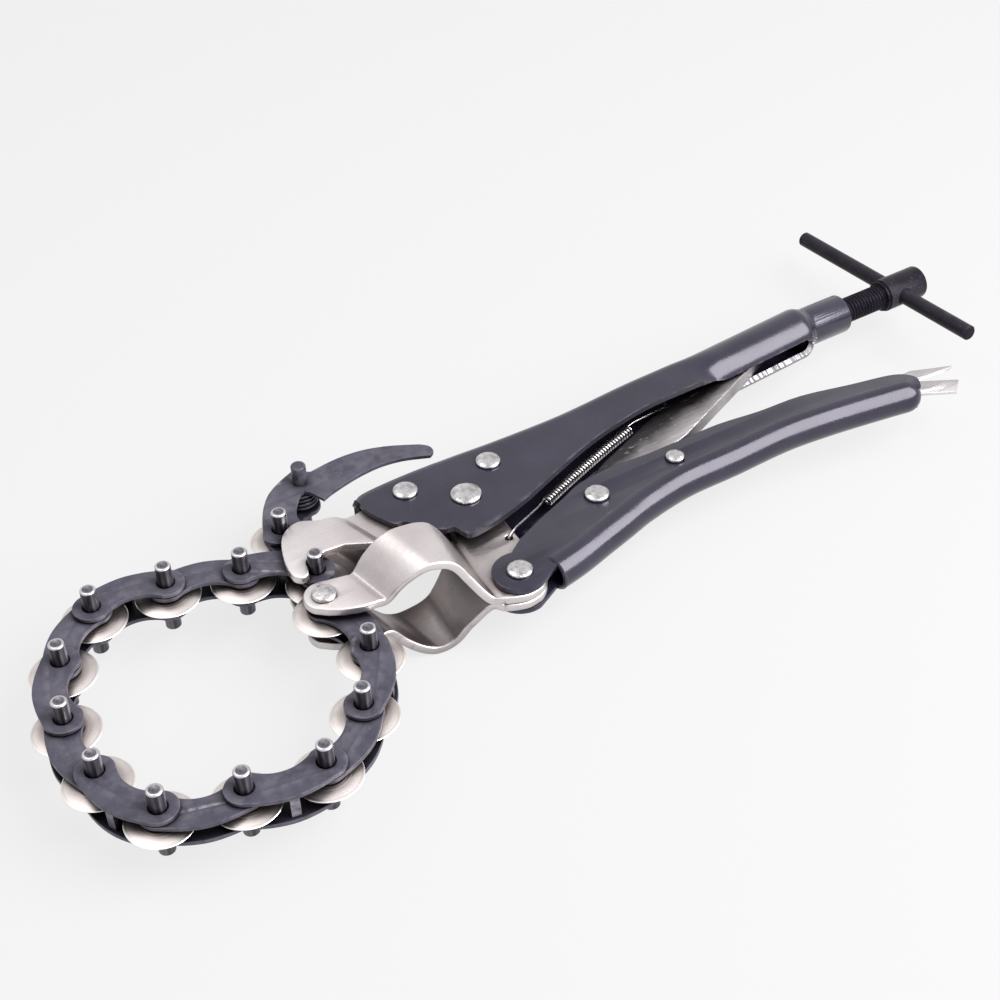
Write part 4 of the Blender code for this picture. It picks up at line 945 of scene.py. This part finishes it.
def make_fixed_jaw(hook):
    def fold(run, height):
        lines = ((run - y * math.sin(HOOK_TILT)) / math.cos(HOOK_TILT) for y in (ARCH_FAR, ARCH_NEAR))
        return Vector((*lines, height))

    start, end = -JOGGLE - JOGGLE_SPARE, JOGGLE_RUN - JOGGLE + JOGGLE_SPARE
    folds = [fold(FIXED_START, FRONT_MIDDLE)]
    for n in range(11):
        share = n / 10
        height = FRONT_MIDDLE + (FIXED_MIDDLE - FRONT_MIDDLE) * step_up(share, 0.05, 0.95)
        folds.append(fold(start + (end - start) * share, height))
    folds.append(fold(FIXED_END, FIXED_MIDDLE))
    outline = [
        *smooth(shaped(HOOK_OUTER_SHARES, HOOK_HEIGHT, HOOK_HEIGHT, hook), 4),
        *arc(hook, PIN_RADIUS + HOOK_SEAT_GAP, 185, 45),
        *shaped(HOOK_INNER_SHARES, HOOK_HEIGHT, HOOK_HEIGHT, hook),
        *shaped([NECK_SHARES], -JAW_PIN.x, -REAR_PIVOT.y),
        *arc((0, 0), MAIN_LUG, 225, 320),
        *arc(UPPER_RIVET, UPPER_LUG, -35, 85),
        *arc(FRONT_RIVET, FRONT_LUG, 80, 115, 6),
    ]
    holes = [circle((0, 0), MAIN_HOLE), circle(FRONT_RIVET, RIVET_HOLE), circle(UPPER_RIVET, RIVET_HOLE)]
    show_jaw("fixed_jaw", outline, holes, 0.45 * MM, folds)


# Rivets, link, lever, screw


def rivet(node, place, shaft, half, flat_below=False):
    head = shaft + HEAD_RIM
    top = half + HEAD_HEIGHT
    rim = 0.35 * MM
    dome = []
    for n in range(13):
        a = math.pi / 2 * n / 12
        dome.append((head * math.sin(a), half + rim + (HEAD_HEIGHT - rim) * math.cos(a) ** 0.8))
    dome.append((head, half))
    if flat_below:
        foot = [(head, -half), (head, -half - 0.9 * MM), (head * 0.93, -top + 0.2 * MM)]
        foot += [(head * 0.86, -top), (0, -top)]
    else:
        foot = mirrored(dome)
    body = lathe([*dome, (shaft, half), (shaft, -half), *foot], 40)
    show(body.data, node, place, turn=place[0] * RIVET_TURN, sharp=50)
    drop(body)


def make_toggle_link():
    nose = TOGGLE_PIVOT + Vector((TOGGLE_REACH, TOGGLE_RISE))
    top = smooth(shaped(TOGGLE_TOP_SHARES, TOGGLE_REACH, TOGGLE_RISE, TOGGLE_PIVOT), 4)
    low = shaped(TOGGLE_LOW_SHARES, TOGGLE_REACH, TOGGLE_RISE, TOGGLE_PIVOT)
    outline = [
        *arc(TOGGLE_PIVOT, TOGGLE_LUG, 330, 120),
        *top,
        *arc(nose, TOGGLE_NOSE, 110, -60, 8),
        low[0],
        *softened(low[1], low[0], low[2]),
        low[2],
    ]
    body = plate(outline, -TOGGLE_HALF, TOGGLE_HALF, [circle(TOGGLE_PIVOT, RIVET_HOLE)], 0.5 * MM)
    # The link's finish carries a painted shadow of the upper handle.
    show_whole(body, "toggle_link", TOGGLE_PIVOT, material="link_steel_painted_shadow", sharp=20)


def make_release_lever():
    sizes = (RELEASE_REACH, RELEASE_DROP, RELEASE_PIVOT)
    shares = (RELEASE_TOP_SHARES, RELEASE_LOW_SHARES, RELEASE_WEB_SHARES)
    top, low, crest = (smooth(shaped(line, *sizes), 4) for line in shares)
    inside = RELEASE_HIGH - RELEASE_SHEET
    hole = circle(RELEASE_PIVOT, SMALL_HOLE, 24)
    plates = []
    sides = ((UPPER_PRONG_SHARES, inside, RELEASE_HIGH), (LOWER_PRONG_SHARES, -RELEASE_HIGH, -inside))
    for prong, start, end in sides:
        plates.append(plate([*top, *shaped(prong, *sizes), *low], start, end, [hole], 0.25 * MM))
    web = [point - Vector((0, 0.3 * MM)) for point in crest]
    web += [point - Vector((0, RELEASE_SHEET)) for point in reversed(crest)]
    bridge = plate(web, -inside - 0.4 * MM, inside + 0.4 * MM, (), 0.1 * MM)
    body = combine(plates[0], [bridge, plates[1]])
    show_whole(body, "release_lever", RELEASE_PIVOT, material="sheet_steel")


def bar_place(slid):
    lean = Matrix.Rotation(math.radians(BAR_ROLL), 4, "X") @ Matrix.Rotation(-math.pi / 2, 4, "X")
    return Matrix.Translation((BAR_X, SCREW_AXIS_Y, 0)) @ lean @ Matrix.Translation((0, 0, slid))


def make_screw():
    """A true helical thread between the neck and the head, with the plain shank inside the tube."""
    tip = TOGGLE_PIVOT.x + TOGGLE_REACH + TOGGLE_CLEARANCE
    first = HANDLE_REACH - 6 * MM
    shank = SCREW_RADIUS - 0.1 * MM
    count, per_turn = 40, 8
    rings = int((THREAD_END - first) / THREAD_PITCH * per_turn)
    starts = ((tip, 3.6 * MM), (tip + 0.8 * MM, shank), (first - 0.4 * MM, shank))
    stations = [(x, [r] * count) for x, r in starts]
    for n in range(rings + 1):
        along = (THREAD_END - first) * n / rings
        waves = [2 * abs((along / THREAD_PITCH - k / count) % 1 - 0.5) for k in range(count)]
        depths = [THREAD_DEPTH * (1 - min(max(1.35 * wave - 0.1, 0), 1)) for wave in waves]
        stations.append((first + along, [SCREW_RADIUS - depth for depth in depths]))
    ends = (
        (THREAD_END + 0.05 * MM, SCREW_RADIUS - THREAD_DEPTH),
        (THREAD_END + 0.1 * MM, COLLAR_RADIUS - 0.4 * MM),
        (THREAD_END + 0.4 * MM, COLLAR_RADIUS), (HEAD_START - 0.1 * MM, COLLAR_RADIUS),
        (HEAD_START, HEAD_RADIUS - 0.3 * MM), (HEAD_START + 0.3 * MM, HEAD_RADIUS),
        (HEAD_END - 0.9 * MM, HEAD_RADIUS), (HEAD_END - 0.45 * MM, HEAD_RADIUS - 0.2 * MM),
        (HEAD_END - 0.1 * MM, HEAD_RADIUS - 0.6 * MM), (HEAD_END, HEAD_RADIUS - 1.1 * MM),
    )
    stations += [(x, [r] * count) for x, r in ends]
    rows = [hoop(Vector((x, SCREW_AXIS_Y)), Vector((1, 0)), radii) for x, radii in stations]
    body = loft(rows, ring=True, caps=True)
    reach, wide = 2 * HEAD_RADIUS, BAR_RADIUS + GAP
    drill = moved(lathe([(0, reach), (wide, reach), (wide, -reach), (0, -reach)], 40), bar_place(0))
    body = combine(body, [drill], "DIFFERENCE")
    show_whole(body, "adjusting_screw", (BAR_X, SCREW_AXIS_Y), sharp=35)
    half = BAR_LENGTH / 2
    end = [(0, half), (BAR_RADIUS - 1.0 * MM, half), (BAR_RADIUS - 0.3 * MM, half - 0.15 * MM)]
    end.append((BAR_RADIUS, half - 0.5 * MM))
    bar = moved(lathe([*end, *mirrored(end)], 40), bar_place(BAR_SLID))
    show_whole(bar, "t_bar", (BAR_X, SCREW_AXIS_Y), sharp=35)


# Chain


def chain_pins():
    places = [JAW_PIN.copy()]
    for heading in HEADINGS:
        turn = math.radians(heading)
        places.append(places[-1] + PITCH * Vector((math.cos(turn), math.sin(turn))))
    return dict(zip(PIN_NAMES, places))


def link_outline(bulge=LINK_BULGE):
    end = Vector((PITCH, 0))
    first, last = arc((0, 0), LINK_END, 105, 297), arc(end, LINK_END, -117, 75)
    dips = [(x * PITCH, dip * LINK_SCALLOP - LINK_END) for x, dip in SCALLOP_SHARES]
    inner = smooth([first[-1], *dips, last[0]], 6)[1:-1]
    rises = [(x * PITCH, rise * bulge + LINK_END) for x, rise in BULGE_SHARES]
    outer = smooth([last[-1], *rises, first[0]], 6)[1:-1]
    return [*first, *inner, *last, *outer]


def link_plates(outline, low, high):
    return two_plates(outline, low, high, [circle((x, 0), PIN_HOLE) for x in (0, PITCH)])


def inner_link(bulge):
    wide = PIN_HOLE + BUSH_WALL
    bush = [(PIN_HOLE, -INNER_LOW), (wide, -INNER_LOW), (wide, INNER_LOW), (PIN_HOLE, INNER_LOW)]
    bushes = [moved(lathe(bush, 32, closed=True), Matrix.Translation((x, 0, 0))) for x in (0, PITCH)]
    return joined([*link_plates(link_outline(bulge), INNER_LOW, INNER_HIGH), *bushes])


def outer_link(out):
    """Two plates and the post between them, with its outer side at the height given."""
    left, right, low = (PITCH - POST_WIDTH) / 2, (PITCH + POST_WIDTH) / 2, out - POST_DEPTH
    half = OUTER_LOW + 0.2 * MM
    post = plate([(left, low), (right, low), (right, out), (left, out)], -half, half)
    return joined([*link_plates(link_outline(), OUTER_LOW, OUTER_HIGH), post])


def make_chain(pins):
    links = {"inner": inner_link(LINK_BULGE), "outer": outer_link(POST_OUT)}
    links.update(a=outer_link(FOLDED_POST_OUT), hook=inner_link(FOLD_BULGE))
    names = list(pins)
    for n, name in enumerate(names[:-2]):
        kind = ("inner", "outer")[n % 2]
        link = links.get(name, links[kind])
        show(link.data, f"{kind}_link_{name}_{names[n + 1]}", pins[name], math.radians(HEADINGS[n]), sharp=15)
    half = [(r * MM, z * MM) for r, z in WHEEL_HALF]
    wheel = lathe([*half, (WHEEL_RADIUS, 0), *mirrored(half)], 96, closed=True)
    shifts = {"jaw": WHEEL_SHIFT, "hook": -WHEEL_SHIFT}
    for n, name in enumerate(names[:-1]):
        show(wheel.data, f"cutter_wheel_{name}", (*pins[name], shifts.get(name, 0)), n * WHEEL_TURN, sharp=25)
    rim = [(r * MM, PIN_HALF - fall * MM) for r, fall in PIN_RIM]
    rim.append((PIN_RADIUS, PIN_HALF - 0.5 * MM))
    pin = lathe([*rim, *mirrored(rim)], 40)
    for n, name in enumerate(names[1:-1]):
        show(pin.data, f"chain_pin_{name}", pins[name], n * PIN_TURN, sharp=50)
    make_finger(pins, pin)
    drop(*links.values(), wheel)


def make_finger(pins, pin):
    start = pins["l"]
    shares = shaped(FINGER_SHARES, FINGER_REACH, FINGER_RISE, start)
    outline = [*arc(start, FINGER_LUG, 345, 195), *smooth(shares[:5]), *smooth(shares[5:10])]
    for first, last in ((9, 13), (12, 19), (18, len(shares))):
        outline += smooth(shares[first:last])[1:]
    finger = plate(outline, OUTER_LOW, OUTER_HIGH, [circle(start, PIN_HOLE)])
    under = plate(link_outline(), -OUTER_HIGH, -OUTER_LOW, [circle((0, 0), PIN_HOLE)])
    placing = Matrix.Translation((*start, 0)) @ Matrix.Rotation(math.radians(HEADINGS[-1]), 4, "Z")
    pin.data = pin.data.copy()
    end_pin = moved(pin, Matrix.Translation((*pins["m"], 0)))
    show_whole(joined([finger, moved(under, placing), end_pin]), "tail_finger", start, sharp=15)


# Springs


def make_jaw_spring():
    pull = 2 * COIL_MIDDLE - (COIL_START + COIL_END) / 2
    up = Vector((0, 0, 1))
    per_turn = 18
    steps = COIL_TURNS * per_turn
    coil = []
    for n in range(steps + 1):
        t = n / steps
        place = (1 - t) ** 2 * COIL_START + 2 * t * (1 - t) * pull + t**2 * COIL_END
        along = (2 * (1 - t) * (pull - COIL_START) + 2 * t * (COIL_END - pull)).normalized()
        side = Vector((-along.y, along.x, 0))
        angle = 2 * math.pi * n / per_turn
        coil.append(place + COIL_RADIUS * (side * math.cos(angle) + up * math.sin(angle)))
    ahead = (coil[0] - SPRING_HOLE).to_2d().normalized().to_3d()
    level = up * (RELEASE_HIGH + GAP + COIL_WIRE / 2)
    hook = SPRING_HOLE + ahead * SHANK
    first = [SPRING_HOLE - level, SPRING_HOLE + level - up * COIL_WIRE]
    first += [SPRING_HOLE + level + ahead * COIL_WIRE, hook + level, coil[0] - ahead * SHANK_LEAD]
    ceiling = height_at(shaped(UPPER_BACK_SHARES, HANDLE_REACH, BACK_RISE), ANCHOR_BACK_X) - 2.3 * MM
    last = [coil[-1] + along * SHANK_LEAD, Vector((ANCHOR_LEAD_X, ceiling / 2, coil[-1].z))]
    last.append(Vector((ANCHOR_X, ceiling - COIL_WIRE, coil[-1].z)))
    bend = (BODY_OF["moving_jaw_top"], hook, COIL_END)
    show_whole(wire([*first, *coil, *last], COIL_WIRE / 2), "jaw_spring", bend=bend)


def make_tail_spring(centre):
    height = 2 * (OUTER_LOW - GAP) - TAIL_WIRE
    per_turn = 24
    steps = TAIL_TURNS * per_turn
    points = []
    for n in range(steps + 1):
        a = 2 * math.pi * n / per_turn
        out = centre + TAIL_COIL_RADIUS * Vector((math.cos(a), math.sin(a)))
        points.append(Vector((*out, height * (n / steps - 0.5))))
    points.append(points[-1] + Vector((0, TAIL_ARM, 0)))
    points.insert(0, points[0] - Vector((0, TAIL_WIRE, 0)))
    show_whole(wire(points, TAIL_WIRE / 2), "tail_spring", centre)


pin_places = chain_pins()
make_upper_handle()
make_lower_handle()
make_moving_jaw()
make_fixed_jaw(pin_places["hook"])
make_toggle_link()
make_release_lever()
make_screw()
make_chain(pin_places)
make_jaw_spring()
make_tail_spring(pin_places["m"])
outside, lever = CHEEK_HIGH + GAP, LEVER_HIGH + GAP
rivet("main_pivot_rivet", (0, 0), MAIN_SHAFT, outside, flat_below=True)
rivet("front_jaw_rivet", FRONT_RIVET, RIVET_SHAFT, outside)
rivet("upper_jaw_rivet", UPPER_RIVET, RIVET_SHAFT, outside)
rivet("rear_pivot_rivet", REAR_PIVOT, RIVET_SHAFT, lever)
rivet("toggle_rivet", TOGGLE_PIVOT, RIVET_SHAFT, lever)
rivet("release_rivet", RELEASE_PIVOT, SMALL_SHAFT, lever)
rivet("jaw_pin", JAW_PIN, PIN_RADIUS, FRONT_MIDDLE + JAW_SHEET / 2 + GAP)


# Floor, light and camera

FLOOR_SIZE = 4.0
FLOOR_COLOUR = (0.905, 0.905, 0.905)
FLOOR_PAINT = (0.56, 0.56, 0.56)  # what the floor gives back of the lamps' light
SHADOW_SHARE = 0.15  # how much of the floor's real shading shows
ROOM_LIGHT = (0.4, 0.4, 0.4)
LENS = 64.08
CAMERA_PLACE = Vector((-230.4, -405.8, 410.7)) * MM
CAMERA_TARGET = Vector((13.48, 0.07, 10.55)) * MM
CAMERA_ROLL = math.radians(-1.9)


def make_studio():
    mesh = bpy.data.meshes.new("floor")
    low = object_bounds()[0][2] - 0.2 * MM
    ends = ((-1, -1), (1, -1), (1, 1), (-1, 1))
    mesh.from_pydata([(x * FLOOR_SIZE, y * FLOOR_SIZE, low) for x, y in ends], [], [(0, 1, 2, 3)])
    f = Finish("floor_paint", 0.9, 0.0, 0.0)
    f.wear(FLOOR_PAINT)
    glow = f.node("ShaderNodeEmission")
    f.give(FLOOR_COLOUR, glow.inputs["Color"])
    blend = f.node("ShaderNodeMixShader")
    f.give(f.maths("MULTIPLY", f.seen(), 1 - SHADOW_SHARE), blend.inputs["Fac"])
    f.link(f.shader.outputs[0], blend.inputs[1])
    f.link(glow.outputs[0], blend.inputs[2])
    f.link(blend.outputs[0], f.tree.nodes["Material Output"].inputs["Surface"])
    mesh.materials.append(f.material)
    add_object(mesh, "floor")
    world = bpy.data.worlds.new("studio")
    bpy.context.scene.world = world
    world.use_nodes = True
    room = Nodes(world.node_tree)
    room.link(room.mix(room.seen(), ROOM_LIGHT, FLOOR_COLOUR), room.tree.nodes["Background"].inputs["Color"])


def lamp(name, place, target, width, height, power, colour):
    data = bpy.data.lights.new(name, "AREA")
    data.shape = "RECTANGLE"
    data.size, data.size_y = width, height
    data.energy = power
    data.color = colour
    obj = add_object(data, name)
    obj.location = place
    obj.rotation_euler = (Vector(target) - Vector(place)).to_track_quat("-Z", "Y").to_euler()


def make_camera():
    camera = bpy.data.cameras.new("camera")
    camera.sensor_width = 36.0
    camera.lens = LENS
    camera.clip_start = 0.01
    obj = add_object(camera, "camera")
    facing = (CAMERA_TARGET - CAMERA_PLACE).to_track_quat("-Z", "Y").to_matrix().to_4x4()
    obj.matrix_world = Matrix.Translation(CAMERA_PLACE) @ facing @ Matrix.Rotation(CAMERA_ROLL, 4, "Z")
    bpy.context.scene.camera = obj


make_studio()
make_camera()
lamp("key", (0.53, -0.6, 0.74), (0.14, 0, 0), 1.1, 1.05, 30.0, (1.0, 0.97, 0.98))
lamp("back", (-0.35, 0.3, 1.0), (0, 0, 0), 0.8, 0.5, 2.5, (1.0, 0.98, 0.98))
bpy.context.scene.view_settings.view_transform = "Standard"
